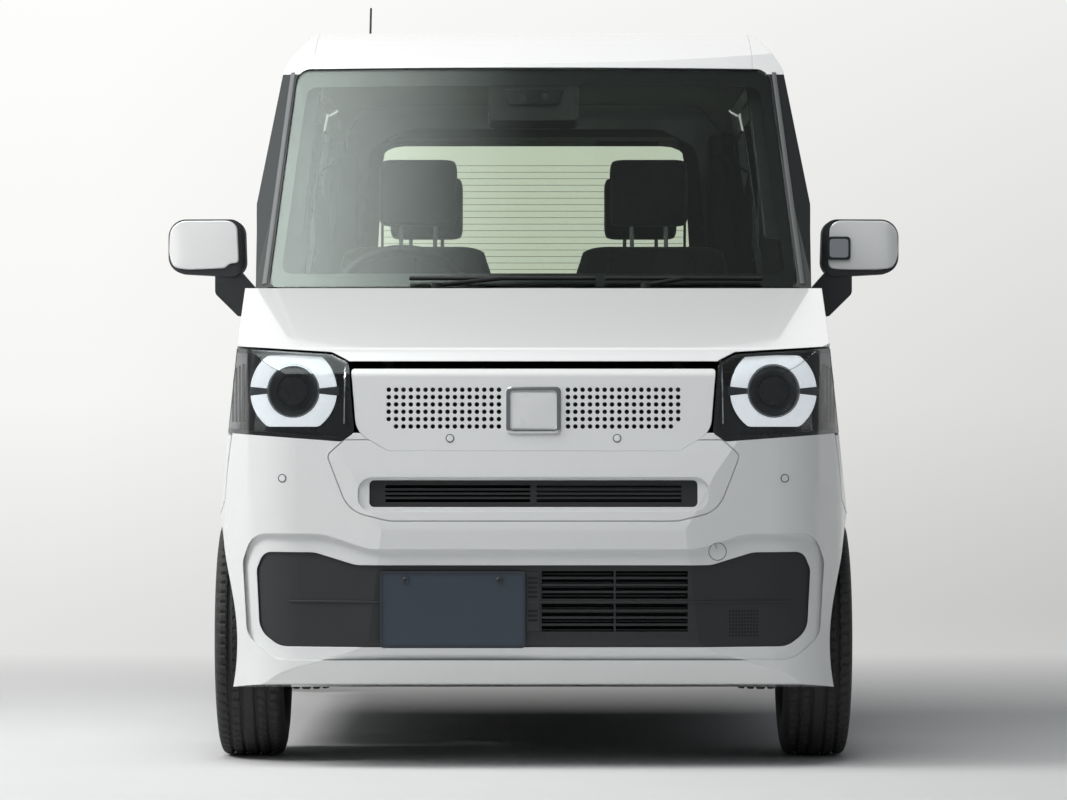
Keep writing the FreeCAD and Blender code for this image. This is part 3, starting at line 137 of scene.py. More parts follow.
def dress(names, material):
    """Gives fixed nodes a material through their slots."""
    for name in names:
        for place in nodes[name].material_slots:
            place.material = material


def mask_of(*steps):
    """Mask on Object coordinates: each step (a, b, c, d) holds where a|x| + b y + c z > d, and all must hold."""
    def build(tree):
        parts = node(tree, "ShaderNodeSeparateXYZ", {0: object_place(tree)}).outputs
        place = node(tree, "ShaderNodeCombineXYZ", {0: maths(tree, "ABSOLUTE", parts[0]), 1: parts[1], 2: parts[2]})
        result = None
        for *direction, level in steps:
            reach = node(tree, "ShaderNodeVectorMath", {0: place.outputs[0], 1: direction}, operation="DOT_PRODUCT")
            past = maths(tree, "GREATER_THAN", reach.outputs["Value"], level)
            result = past if result is None else maths(tree, "MULTIPLY", result, past)
        return result
    return build


# The windscreen pillars and the frames round the side windows are finished in black above the belt line
paint = dict(roughness=0.20, change=0.5, patch=3.0, grain=2600.0, depth=0.00002, edge=0.003, rough_change=0.05,
             Coat_Weight=1.0, Coat_Roughness=0.04)
pearl_shade = (0.760, 0.772, 0.775)
quarter_mask = mask_of((0, -1, 0, -0.20), (0, 0, 1, 1.062), (0, 0, -1, -1.640))
rail_mask = mask_of((0, -1, -0.46, -0.13), (0, 0, 1, 1.40), (0, 0, -1, -1.652))
frame_mask = mask_of((0, 0, 1, 1.046))
lining_mask = mask_of((-1, 0, -0.182, -0.868), (0, 0, 1, 1.05), (0, -1, 0, -1.47), (0, 0, -1, -1.650))
lining_grey = (0.050, 0.052, 0.051)
panel_paint = finish_of("pearl white paint", pearl_white, pearl_shade, **paint)
side_paint = finish_of("pearl white paint with black pillars", pearl_white, pearl_shade,
                       masks=[(quarter_mask, gloss_black, 0.50), (rail_mask, gloss_black, 0.50),
                              (lining_mask, lining_grey, 0.65)], **paint)
door_paint = finish_of("pearl white paint with black window frame", pearl_white, pearl_shade,
                       masks=[(frame_mask, gloss_black, 0.50)], **paint)
dress(("body_side_left", "body_side_right"), side_paint)
dress(("roof", "front_fenders", "bonnet", "tailgate", "fuel_lid", "front_bumper", "rear_bumper"), panel_paint)
dress(("front_door_left", "front_door_right", "sliding_doors"), door_paint)


# Floor, bulkhead and front frame: spot-welded steel pressings under a dull sprayed coat that keeps
# out stones and rust. The arms and the beam axle are bolted under them in black.
underbody = finish_of("underbody coat", (0.030, 0.031, 0.033), (0.050, 0.048, 0.045), 0.72, change=0.6, patch=9.0,
                      grain=420.0, depth=0.0006)
dress(("floor_pan", "bulkhead", "front_frame"), underbody)
chassis_black = finish_of("chassis black", (0.020, 0.020, 0.021), (0.055, 0.050, 0.045), 0.55, change=0.5, patch=14.0,
                          grain=300.0, depth=0.0004)
dress(("front_suspension", "rear_axle", "fuel_tank"), chassis_black)


# Engine, exhaust and steering knuckles: cast aluminium and cast iron with a rough skin, dulled
# by heat and road dirt.
cast_iron = finish_of("cast iron", (0.22, 0.22, 0.22), (0.12, 0.10, 0.09), 0.45, change=0.8, patch=20.0, grain=240.0,
                      depth=0.0004, Metallic=0.85)
dress(("knuckle_left", "knuckle_right", "exhaust"), cast_iron)
cast_aluminium = finish_of("cast aluminium", (0.36, 0.36, 0.37), (0.20, 0.19, 0.18), 0.5, change=0.7, patch=12.0,
                           grain=200.0, depth=0.0008, Metallic=0.8)
dress(("engine_block",), cast_aluminium)


# Tyres: moulded rubber with four grooves round the tread, cross sipes that stop short of them and
# a raised rim guard. Each grips the rim by its beads.
tread_grooves = (-0.043, -0.016, 0.016, 0.043)
groove_half = 0.0042
groove_depth = 0.0065
sipe_count = 72
turn_steps = 288


def tyre_profile():
    """Places across the tyre and radii, from the inner bead over the tread to the outer bead."""
    side = [(0.0565, 0.179), (0.064, 0.183), (0.0745, 0.198), (0.0782, 0.216), (0.0780, 0.234), (0.0755, 0.252),
            (0.0722, 0.2635), (0.0690, 0.2700), (0.0640, 0.2742)]
    tread = []
    for index in range(41):
        x = 0.0600 - index * 0.0030
        crown = 0.0026 * (x / 0.060) ** 2
        groove = max(math.exp(-((x - middle) / groove_half) ** 4) for middle in tread_grooves)
        tread.append((x, 0.2784 - crown - groove_depth * groove))
    return side + tread + [(-x, r) for x, r in reversed(side)]


def tread_radius(x, r, step):
    """Radius at a place on the tread, cut by the slanting sipes between the grooves."""
    if abs(x) > 0.0700 or r < 0.268:
        return r
    slant = 0.9 * x / 0.060
    phase = (step * sipe_count / turn_steps + slant) % 1.0
    shoulder = abs(x) > 0.046
    if phase < 0.26 and (shoulder or 0.020 < abs(x) < 0.038):
        return r - (0.0045 if shoulder else 0.0032)
    return r


rubber = finish_of("tyre rubber", (0.022, 0.022, 0.022), (0.036, 0.035, 0.034), 0.72, change=0.6, patch=14.0,
                   grain=700.0, depth=0.0003)


def loft(rows, looped=False, capped=False):
    """Vertices and faces through like rows of places; looped joins last row to first, capped closes both ends."""
    count = len(rows[0])
    verts = [vert for row in rows for vert in row]
    faces = []
    for level in range(len(rows) if looped else len(rows) - 1):
        base, above = level * count, (level + 1) % len(rows) * count
        for index in range(count):
            beside = (index + 1) % count
            faces.append((base + index, base + beside, above + beside, above + index))
    if capped:
        faces += [tuple(range(count)), tuple(range(len(verts) - count, len(verts)))]
    return verts, faces


def shown(name, data):
    """Object put into the scene."""
    made = bpy.data.objects.new(name, data)
    bpy.context.scene.collection.objects.link(made)
    return made


def ridden(name, mesh, body, slot, angle):
    """Piece with a smooth mesh, sharp past an angle, that rides on a body; its slot is not used."""
    mesh.shade_smooth()
    mesh.set_sharp_from_angle(angle=math.radians(angle))
    piece = shown(name, mesh)
    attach(piece, body)
    return piece


def piece_of(name, verts, faces, material, body, slot, angle=35.0):
    """Closed piece with its normals outwards."""
    mesh = bpy.data.meshes.new(name)
    mesh.from_pydata([tuple(vert) for vert in verts], [], faces)
    work = bmesh.new()
    work.from_mesh(mesh)
    bmesh.ops.remove_doubles(work, verts=work.verts, dist=0.000002)
    bmesh.ops.recalc_face_normals(work, faces=work.faces)
    work.to_mesh(mesh)
    work.free()
    mesh.materials.append(material)
    return ridden(name, mesh, body, slot, angle)


def turned(profile_at, centre, steps, side):
    """Vertices and faces of a closed profile (across, radius), which may change by the step, turned on an axle."""
    rows = []
    for step in range(steps):
        turn = math.tau * step / steps
        rows.append([(centre.x + side * x, centre.y + r * math.cos(turn), centre.z + r * math.sin(turn))
                     for x, r in profile_at(step)])
    return loft(rows, looped=True)


tyre_outline = tyre_profile()


def tread_at(step):
    """Profile of the tyre at one step of its turn."""
    return [(x, tread_radius(x, r, step)) for x, r in tyre_outline]


corners = (("front_left", 1), ("front_right", -1), ("rear_left", 1), ("rear_right", -1))
wheel_centres = {}
for corner, side in corners:
    low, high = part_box("tyre_" + corner)
    wheel_centres[corner] = (low + high) / 2
    tyre = piece_of("tyre_tread_" + corner, *turned(tread_at, wheel_centres[corner], turn_steps, side), rubber,
                    "wheel_" + corner, "tyre", 28.0)
    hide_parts("tyre_" + corner)


# Wheels: pressed steel rims under full covers moulded in silver plastic, with eight pairs of vent
# slots and a raised centre. The covers clip into the lip of the rim.
wheel_silver = finish_of("wheel silver", (0.42, 0.43, 0.44), (0.34, 0.34, 0.35), 0.32, change=0.4, patch=10.0,
                         grain=1500.0, depth=0.00004, edge=0.001, Metallic=0.7)
cover_silver = finish_of("wheel cover silver", (0.50, 0.51, 0.52), (0.42, 0.43, 0.44), 0.30, change=0.4, patch=9.0,
                         grain=2200.0, depth=0.00003, edge=0.0015, Metallic=0.45, Coat_Weight=0.5)
spoke_count = 8
cover_steps = 160
cover_wall = 0.0028
cover_radii = [0.004 + index * 0.0040 for index in range(43)] + [0.1745, 0.1762]
cap_profile = [(0.0440, 0.0005), (0.0512, 0.0005), (0.0510, 0.016), (0.0495, 0.021), (0.0440, 0.021)]


def cover_face(r, turn):
    """Place across of the cover's face at a radius and a turn: spokes stand out between sunk vents."""
    dome = 0.047 - 0.011 * (r / 0.178) ** 2
    hub = 0.0035 * math.exp(-(r / 0.030) ** 6)
    wave = abs(((turn * spoke_count / math.tau) % 1.0) - 0.5) * 2
    twin = abs(((turn * spoke_count * 2 / math.tau) % 1.0) - 0.5) * 2
    reach = 1 / (1 + math.exp(-(r - 0.062) / 0.004)) / (1 + math.exp((r - 0.150) / 0.004))
    vent = 1 / (1 + math.exp(-(wave - 0.45) / 0.05))
    ridge = 1 / (1 + math.exp(-(twin - 0.80) / 0.05))
    return dome + hub - reach * (0.012 * vent + 0.003 * ridge * (1 - vent))


def cover_profile(step):
    """Face of the cover from its middle to its rim, and back along its inner side."""
    turn = math.tau * step / cover_steps
    face = [(cover_face(r, turn), r) for r in cover_radii]
    face[-1] = (face[-1][0] - 0.004, cover_radii[-1])
    return face + [(x - cover_wall, r) for x, r in reversed(face)]


for corner, side in corners:
    wheel = "wheel_" + corner
    dress((wheel,), wheel_silver)
    piece_of("wheel_cover_" + corner, *turned(cover_profile, wheel_centres[corner], cover_steps, side), cover_silver,
             wheel, "wheel_steel", 40.0)
    piece_of("wheel_centre_cap_" + corner, *turned(lambda step: cap_profile, wheel_centres[corner], 48, side),
             cover_silver, wheel, "wheel_steel", 30.0)


# Dashboard: one hollow moulding in grained soft-touch plastic, with a shaded dial pod behind the
# wheel, four air outlets and a raised screen in the middle. It is screwed to the bulkhead.
dashboard_plastic = finish_of("dashboard plastic", (0.055, 0.057, 0.058), (0.070, 0.072, 0.074), 0.62, change=0.5,
                              patch=6.0, grain=1100.0, depth=0.0002, edge=0.004)
dress(("dashboard", "steering_wheel"), dashboard_plastic)
gloss_panel = finish_of("gloss black panel", (0.010, 0.010, 0.011), (0.020, 0.020, 0.022), 0.12, change=0.3,
                        patch=8.0, grain=1800.0, depth=0.00001, Coat_Weight=0.6)


def skin_of(*names):
    """Search tree over the faces of fixed nodes, so that a piece can be laid on them."""
    verts, faces = [], []
    for name in names:
        mesh = nodes[name].data
        first = len(verts)
        verts += [vertex.co.copy() for vertex in mesh.vertices]
        faces += [[first + index for index in polygon.vertices] for polygon in mesh.polygons]
    return BVHTree.FromPolygons(verts, faces)


def rounded(corners, radius, steps=5):
    """Closed outline through corners (u, v), each rounded by one radius."""
    points = []
    for index, corner in enumerate(corners):
        here = Vector(corner)
        before, after = Vector(corners[index - 1]) - here, Vector(corners[(index + 1) % len(corners)]) - here
        reach = min(radius, before.length * 0.49, after.length * 0.49)
        first, last = here + before.normalized() * reach, here + after.normalized() * reach
        for step in range(steps + 1):
            t = step / steps
            points.append(tuple((first * (1 - t) + here * t) * (1 - t) + (here * (1 - t) + last * t) * t))
    return points


def place_name(x):
    """Side of the car and distance from its middle in millimetres, for a piece's name."""
    return "%s_%03d" % ("left" if x > 0 else "right", abs(round(x * 1000)))


def span(u_low, u_high, v_low, v_high):
    """Corners of a rectangle between its sides."""
    return [(u_low, v_low), (u_high, v_low), (u_high, v_high), (u_low, v_high)]


def box_outline(u, v, half_u, half_v):
    """Corners of a rectangle about its middle."""
    return span(u - half_u, u + half_u, v - half_v, v + half_v)


def upright(shape, y):
    """Outline (x, z) stood across the car at a place along it."""
    return [(u, y, v) for u, v in shape]


def layered(name, rows, material, body, slot, angle=35.0):
    """Solid through like rows of places, one after another, closed by flat faces."""
    return piece_of(name, *loft(rows, capped=True), material, body, slot, angle)


wheel_middle_x = -0.325
outlet_y, outlet_z = -0.5835, 0.985
dial_pod = []
for y, half_x, low_z, high_z in ((-0.700, 0.150, 1.050, 1.105), (-0.690, 0.162, 1.050, 1.120),
                                 (-0.640, 0.168, 1.050, 1.122), (-0.600, 0.160, 1.050, 1.110)):
    shape = rounded(box_outline(0, (low_z + high_z) / 2, half_x, (high_z - low_z) / 2), 0.030)
    dial_pod.append([(wheel_middle_x + u, y, v) for u, v in shape])
layered("dial_pod", dial_pod, dashboard_plastic, "body", "interior_plastic")
layered("centre_screen", [
    upright(rounded(box_outline(0.02, 1.035, 0.118 + grow, 0.066 + grow), 0.010), y + 0.080)
    for y, grow in ((-0.672, -0.004), (-0.668, 0.0), (-0.656, 0.0), (-0.652, -0.003))],
    gloss_panel, "body", "interior_plastic")
for x, half_x in ((-0.555, 0.040), (-0.135, 0.034), (0.175, 0.034), (0.555, 0.040)):
    rim = rounded(box_outline(x, outlet_z, half_x, 0.030), 0.010)
    mouth = rounded(box_outline(x, outlet_z, half_x - 0.006, 0.024), 0.007)
    verts, faces = loft([upright(shape, y) for y, shape in (
        (outlet_y - 0.008, rim), (outlet_y, rim), (outlet_y, mouth), (outlet_y - 0.008, mouth))], looped=True)
    for slat in range(4):
        z = outlet_z + (slat - 1.5) * 0.0115
        section = ((-0.007, 0.0015), (-0.001, -0.002), (-0.001, -0.0035), (-0.007, 0.0))
        bar, bar_faces = loft([[(x + dx, outlet_y + dy, z + dz) for dy, dz in section]
                               for dx in (-half_x + 0.005, half_x - 0.005)], capped=True)
        faces += [tuple(len(verts) + index for index in face) for face in bar_faces]
        verts += bar
    piece_of("air_outlet_" + place_name(x), verts, faces, gloss_panel, "body", "interior_plastic")


# Lining of the cabin: a moulded felt board under the roof and plastic covers on the rear pillars,
# clipped over the bare steel. They hide the backs of the rear lamps.
lining_felt = finish_of("lining felt", (0.300, 0.305, 0.295), (0.260, 0.265, 0.258), 0.95, change=0.5, patch=12.0,
                        grain=1600.0, depth=0.0004)
trim_plastic = finish_of("trim plastic", (0.085, 0.088, 0.086), (0.100, 0.103, 0.101), 0.60, change=0.4, patch=7.0,
                         grain=1300.0, depth=0.0002)


def panel_between(name, rows, wall, material):
    """Thin panel through rows of points; its back is the same rows drawn off by the wall's vector."""
    across, down = len(rows[0]), len(rows)
    verts = [Vector(point) for row in rows for point in row]
    back = len(verts)
    verts += [vert + Vector(wall) for vert in verts]
    faces = []
    for row in range(down - 1):
        for column in range(across - 1):
            a = row * across + column
            quad = (a, a + 1, a + across + 1, a + across)
            faces += [quad, tuple(back + index for index in reversed(quad))]
    edges = [(a, a + 1) for column in range(across - 1) for a in (column, back - across + column)]
    edges += [(a, a + across) for row in range(down - 1) for a in (row * across, row * across + across - 1)]
    faces += [(a, b, back + b, back + a) for a, b in edges]
    return piece_of(name, verts, faces, material, "body", "interior_plastic")


def struck(skin, start, toward, reach):
    """Place where a straight line from a start first meets a skin, or None."""
    return skin.ray_cast(Vector(start), Vector(toward), reach)[0]


roof_skin = skin_of("roof", "body_side_left", "body_side_right")
lining_front, lining_rear, lining_top = -0.46, 1.50, 1.765
rows = []
for row in range(25):
    y = lining_front + row * (lining_rear - lining_front) / 24
    line = []
    for column in range(17):
        x = -0.56 + column * 0.07
        hit = struck(roof_skin, (x, y, 1.45), (0, 0, 1), 0.5)
        line.append((x, y, min(hit.z if hit else 1.66, lining_top - 0.30 * x * x) - 0.012))
    rows.append(line)
panel_between("headlining", rows, (0, 0, 0.004), lining_felt)
sides = (("left", 1), ("right", -1))
for name, side in sides:
    wall_skin = skin_of("body_side_" + name)
    rows = []
    for row in range(15):
        z = 0.800 + row * (1.600 - 0.800) / 14
        line = []
        for y, pull in ((1.505, 0.0), (1.470, 0.30), (1.400, 0.55)):
            hit = struck(wall_skin, (side * 0.30, y, z), (side, 0, 0), 0.6)
            reach = min(abs(hit.x) if hit else 0.640, 0.640) - 0.006
            line.append((side * (0.512 + (reach - 0.512) * pull if pull < 0.5 else reach), y, z))
        rows.append(line)
    panel_between("rear_pillar_cover_" + name, rows, (0, 0.003, 0), trim_plastic)


# Seats: foam on sprung steel frames under woven cloth, with channels sewn down the middle and head
# restraints on two steel posts. The frames stand on plinths bolted to the floor.
seat_cloth = finish_of("seat cloth", (0.042, 0.045, 0.044), (0.060, 0.063, 0.062), 0.90, change=0.7, patch=60.0,
                       grain=1500.0, depth=0.0005, Sheen_Weight=0.3)
post_steel = finish_of("post steel", (0.48, 0.48, 0.49), (0.38, 0.38, 0.39), 0.22, change=0.4, patch=20.0,
                       grain=900.0, depth=0.00003, Metallic=1.0)


def weave_on(material):
    """Crossed threads of the cloth, as a fine bump that adds to the grain's."""
    tree = material.node_tree
    shader = tree.nodes["Principled BSDF"].inputs
    threads = [node(tree, "ShaderNodeTexWave", {"Vector": object_place(tree), "Scale": 140.0, "Distortion": 0.6},
                    bands_direction=direction).outputs["Fac"] for direction in ("X", "Z")]
    bump = node(tree, "ShaderNodeBump", {
        "Strength": 0.6, "Distance": 0.0002, "Height": maths(tree, "MULTIPLY", *threads),
        "Normal": shader["Normal"].links[0].from_socket})
    tree.links.new(bump.outputs["Normal"], shader["Normal"])


weave_on(seat_cloth)


def cushion(name, middle, half, lean, crown, channels, bolster=0.0):
    """Crowned closed cushion: half sizes across, along its thickness and up, leaned back about the car's X axis.

    Its front swells between pulled-in sides; channels are places across where a seam draws the cloth in.
    """
    verts, faces, grid = [], [], {}
    columns, rows_up, layers = 36, 28, 6

    def place(u, v, w):
        pull = 1 - 0.045 * (1 - abs(u) ** 6) * (abs(v) > 0.999) - 0.035 * (1 - abs(v) ** 6) * (abs(u) > 0.999)
        round_u = u * (1 - 0.10 * abs(v) ** 8)
        round_v = v * (1 - 0.10 * abs(u) ** 8)
        swell = (1 - abs(u) ** 4) * (1 - abs(v) ** 4)
        raise_side = bolster * max(0.0, abs(u) - 0.62) / 0.38 * (1 - abs(v) ** 8)
        seam = sum(math.exp(-((u - channel) / 0.022) ** 2) for channel in channels) * 0.22 * (1 - abs(v) ** 10)
        depth = w * (0.70 + crown * swell) + (raise_side - seam if w > 0 else 0.0)
        edge = 1 - 0.06 * abs(w) ** 3
        x = half[0] * round_u * pull * edge
        z = half[2] * round_v * pull * edge
        y = -half[1] * depth
        return (middle[0] + x, middle[1] + y * math.cos(lean) + z * math.sin(lean),
                middle[2] - y * math.sin(lean) + z * math.cos(lean))

    def vert(i, j, k):
        key = (i, j, k)
        if key not in grid:
            grid[key] = len(verts)
            verts.append(place(2 * i / columns - 1, 2 * j / rows_up - 1, 2 * k / layers - 1))
        return grid[key]

    for k in (0, layers):
        for i in range(columns):
            for j in range(rows_up):
                faces.append((vert(i, j, k), vert(i + 1, j, k), vert(i + 1, j + 1, k), vert(i, j + 1, k)))
    for k in range(layers):
        for i in range(columns):
            for j in (0, rows_up):
                faces.append((vert(i, j, k), vert(i + 1, j, k), vert(i + 1, j, k + 1), vert(i, j, k + 1)))
        for j in range(rows_up):
            for i in (0, columns):
                faces.append((vert(i, j, k), vert(i, j + 1, k), vert(i, j + 1, k + 1), vert(i, j, k + 1)))
    piece = piece_of(name, verts, faces, seat_cloth, "body", "seat_fabric", 60.0)
    return piece


def post_between(name, start, end, radius):
    """Round steel rod with softened ends between two points."""
    steps = 16
    start, end = Vector(start), Vector(end)
    axis = (end - start).normalized()
    across = axis.orthogonal().normalized()
    other = axis.cross(across)
    rows = []
    soft = axis * radius * 0.3
    for place, share in ((start, 0.7), (start + soft, 1.0), (end - soft, 1.0), (end, 0.7)):
        rows.append([place + (across * math.cos(math.tau * k / steps)
                              + other * math.sin(math.tau * k / steps)) * radius * share for k in range(steps)])
    return layered(name, rows, post_steel, "body", "steel")


seat_middle_x = 0.315
row_pitch = 0.9913
for row_name, shift, plinth_box in (("front", 0.0, (-0.330, 0.130, 0.290, 0.600)),
                                    ("rear", row_pitch, (0.840, 1.140, 0.478, 0.600))):
    front, rear, foot, head = plinth_box
    for name, side in sides:
        x, label = side * seat_middle_x, row_name + "_" + name
        seat_pad = cushion("seat_cushion_" + label, (x, -0.108 + shift, 0.650), (0.212, 0.046, 0.272),
                           math.radians(-86), 0.42, (-0.55, -0.18, 0.18, 0.55), 0.18)
        if side > 0:
            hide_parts(row_name + "_seats")
        cushion("seat_back_" + label, (x, 0.187 + shift, 0.972), (0.205, 0.044, 0.276),
                math.radians(7), 0.42, (-0.55, 0.0, 0.55), 0.25)
        x_head = x - side * 0.010
        cushion("head_restraint_" + label, (x_head, 0.216 + shift, 1.376), (0.107, 0.044, 0.092),
                math.radians(5), 0.40, (), 0.0)
        for offset in (-0.045, 0.045):
            post_between("restraint_post_%s_%s" % (label, place_name(offset)),
                         (x_head + offset, 0.205 + shift, 1.205), (x_head + offset, 0.214 + shift, 1.320), 0.0055)
        plinth = []
        for z, grow in ((foot, 0.0), (foot + 0.02, 0.0), (head - 0.03, -0.02), (head, -0.025)):
            shape = rounded(box_outline(x, (front + rear) / 2, 0.195 + grow, (rear - front) / 2 + grow), 0.03)
            plinth.append([(u, v, z) for u, v in shape])
        layered("seat_plinth_" + label, plinth, trim_plastic, "body", "interior_plastic")


# Windscreen: laminated glass bonded into the shell, with a black ceramic band baked on round its
# edge to hide the adhesive, and the camera and rain sensor under a plastic cover at its top.
def glass_of(name, tint, roughness=0.0):
    """Clear material with a tint and a faint ripple."""
    material, tree, shader = new_material(name)
    for socket, value in (("Base Color", (*tint, 1)), ("Roughness", roughness), ("IOR", 1.45),
                          ("Transmission Weight", 1.0)):
        shader[socket].default_value = value
    ripple = node(tree, "ShaderNodeTexNoise", {"Vector": object_place(tree), "Scale": 3.0}).outputs["Fac"]
    bump = node(tree, "ShaderNodeBump", {"Strength": 0.15, "Distance": 0.0003, "Height": ripple})
    tree.links.new(bump.outputs["Normal"], shader["Normal"])
    return material


screen_glass = glass_of("green tinted glass", (0.80, 0.86, 0.81))
privacy_glass = glass_of("dark privacy glass", (0.20, 0.23, 0.22))
rear_glass = glass_of("green rear glass", (0.74, 0.80, 0.66))
dress(("windscreen", "front_door_glass_left", "front_door_glass_right"), screen_glass)
dress(("side_glass",), privacy_glass)
dress(("tailgate_glass",), rear_glass)
ceramic_black = finish_of("ceramic black", (0.008, 0.008, 0.009), (0.014, 0.014, 0.015), 0.30, change=0.4, patch=10.0,
                          grain=1800.0, depth=0.00002)
sensor_black = finish_of("sensor cover black", (0.015, 0.015, 0.016), (0.024, 0.024, 0.026), 0.50, change=0.5,
                         patch=12.0, grain=1400.0, depth=0.0001)


def laid(skin, points, lift, toward=1.0, across=False):
    """Points (x, z) carried onto a skin along the car, or points (y, z) across it, then lifted off it.

    Toward is 1 where the line runs to greater x or y and -1 where it runs the other way.
    """
    far, reach, near = (1.2, 1.0, 0.75) if across else (3.0, 3.5, 1.7)

    def spot(u, depth, v):
        return Vector((depth, u, v) if across else (u, depth, v))

    outwards = spot(0, -toward, 0)
    places = []
    for u, v in points:
        hit, normal = skin.ray_cast(spot(u, -far * toward, v), spot(0, toward, 0), reach)[:2]
        if hit is None:
            hit, normal = skin.find_nearest(spot(u, -near * toward, v))[0], outwards
        if normal.dot(outwards) < 0:
            normal = -normal
        places.append(hit + normal * lift)
    return places


def band_on(name, skin, outer, inner, lift, thick, material, body, slot, toward=1.0, rows=2):
    """Flat frame between two like outlines (x, z), laid on a skin with its face lifted off it."""
    face, back = [], []
    for row in range(rows + 1):
        share = row / rows
        points = [(a[0] * (1 - share) + b[0] * share, a[1] * (1 - share) + b[1] * share)
                  for a, b in zip(outer, inner)]
        face.append(laid(skin, points, lift, toward))
        back.append(laid(skin, points, lift - thick, toward))
    return piece_of(name, *loft(face + back[::-1], looped=True), material, body, slot)


def middle_of(outline):
    """Mean of an outline's places."""
    return tuple(sum(point[axis] for point in outline) / len(outline) for axis in (0, 1))


def shrunk(outline, share):
    """Outline drawn in about its middle to a share of its size."""
    middle = middle_of(outline)
    return [(middle[0] + (p[0] - middle[0]) * share, middle[1] + (p[1] - middle[1]) * share) for p in outline]


def plate_on(name, skin, outline, lift, thick, material, body, slot, toward=1.0, rings=3, crown=0.0, soft=0.0):
    """Plate with an outline (x, z), laid on a skin; crown swells its middle and soft turns down its edge."""
    rows = [laid(skin, outline, lift - thick, toward)]
    if soft:
        rows.append(laid(skin, outline, lift - soft, toward))
    for ring in range(rings):
        share = 0.97 if soft and ring == 0 else 1 - ring / rings
        rows.append(laid(skin, shrunk(outline, share), lift + crown * (1 - share * share), toward))
    verts, faces = loft(rows)
    count, middle = len(outline), [middle_of(outline)]
    top, last = len(verts), len(verts) - count
    verts += laid(skin, middle, lift + crown, toward) + laid(skin, middle, lift - thick, toward)
    for index in range(count):
        beside = (index + 1) % count
        faces += [(last + index, last + beside, top), (beside, index, top + 1)]
    return piece_of(name, verts, faces, material, body, slot)


def divided(points, step):
    """Closed outline with points added so that none lies further from the next than a step."""
    out = []
    for index, point in enumerate(points):
        following = points[(index + 1) % len(points)]
        parts = max(1, int(math.hypot(following[0] - point[0], following[1] - point[1]) / step))
        out += [(point[0] + (following[0] - point[0]) * k / parts, point[1] + (following[1] - point[1]) * k / parts)
                for k in range(parts)]
    return out


def outline_of(corners, radius, step):
    """Outline through rounded corners with points no further apart than a step."""
    return divided(rounded(corners, radius), step)


def drawn_in(points, across, low, high):
    """Outline moved inwards by distances across, at its low side and at its high side."""
    low_z, high_z = min(p[1] for p in points), max(p[1] for p in points)
    out = []
    for x, z in points:
        t = (z - low_z) / (high_z - low_z)
        out.append((x - math.copysign(min(across, abs(x)), x) * min(1.0, abs(x) / 0.30),
                    z + low * (1 - t) - high * t))
    return out


def round_outline(x, z, radius, steps=32):
    """Circle as an outline."""
    return [(x + radius * math.cos(math.tau * k / steps), z + radius * math.sin(math.tau * k / steps))
            for k in range(steps)]


screen_skin = skin_of("windscreen")
screen_edge = outline_of([(-0.6290, 1.1005), (0.6290, 1.1005), (0.5850, 1.6490), (-0.5850, 1.6490)], 0.030, 0.040)
band_on("screen_band", screen_skin, screen_edge, drawn_in(screen_edge, 0.024, 0.034, 0.040), -0.0072, 0.0006,
        ceramic_black, "body", "tinted_glass")
sensor_outline = outline_of([(-0.1120, 1.6200), (-0.1120, 1.5200), (0.1120, 1.5200), (0.1120, 1.6200)], 0.018, 0.02)
plate_on("sensor_cover", screen_skin, sensor_outline, -0.0080, 0.030, sensor_black, "body", "black_trim",
         crown=-0.004)
window_outline = rounded([(-0.0600, 1.5600), (0.0600, 1.5600), (0.0740, 1.5990), (-0.0740, 1.5990)], 0.004)
plate_on("camera_window", screen_skin, window_outline, -0.0066, 0.0008, gloss_panel, "body", "black_trim", rings=2)
for x in (-0.028, 0.028):
    plate_on("camera_lens_" + place_name(x), screen_skin, round_outline(x, 1.5790, 0.011, 20), -0.0058, 0.0006,
             sensor_black, "body", "black_trim", crown=-0.002)


# Pillar mouldings: satin strips pressed along each side edge of the glass, over the black pillars
# that carry the roof.
moulding_satin = finish_of("satin moulding", (0.12, 0.125, 0.125), (0.16, 0.165, 0.165), 0.42, change=0.4, patch=6.0,
                           grain=1200.0, depth=0.00004)


def ribbon_on(name, skin, path, half_wide, proud, sink, material):
    """Moulding of even width along a path (x, z), laid on a skin from the front with a slightly rounded face."""
    places, crown = laid(skin, path, 0.0), 0.0006
    section = ((-1.0, -sink), (-1.0, proud - crown), (-0.55, proud), (0.55, proud), (1.0, proud - crown),
               (1.0, -sink))
    rows = []
    for index, place in enumerate(places):
        before, after = places[max(0, index - 1)], places[min(len(places) - 1, index + 1)]
        along = (after - before).normalized()
        normal = skin.find_nearest(place)[1]
        if normal.y > 0:
            normal = -normal
        beside = along.cross(normal).normalized()
        rows.append([place + beside * half_wide * u + normal * v for u, v in section])
    return layered(name, rows, material, "body", "black_trim", 50.0)


for name, side in sides:
    path = [(side * (0.6425 - 0.0445 * (k / 24)), 1.1060 + (1.6440 - 1.1060) * (k / 24)) for k in range(25)]
    ribbon_on("pillar_moulding_" + name, skin_of("body_side_" + name), path, 0.0055, 0.0022, 0.002, moulding_satin)


# Rear window: tempered glass with fine heater lines printed across its inner face between two
# upright feed strips, a black ceramic edge and a plastic trim round it on the cabin's side.
heater_print = finish_of("heater print", (0.16, 0.09, 0.04), (0.20, 0.12, 0.06), 0.60, change=0.3, patch=12.0,
                         grain=900.0, depth=0.00002)
rear_skin = skin_of("tailgate_glass")
heater_half = 0.440
heater_low, heater_pitch, heater_count = 1.215, 0.0190, 17


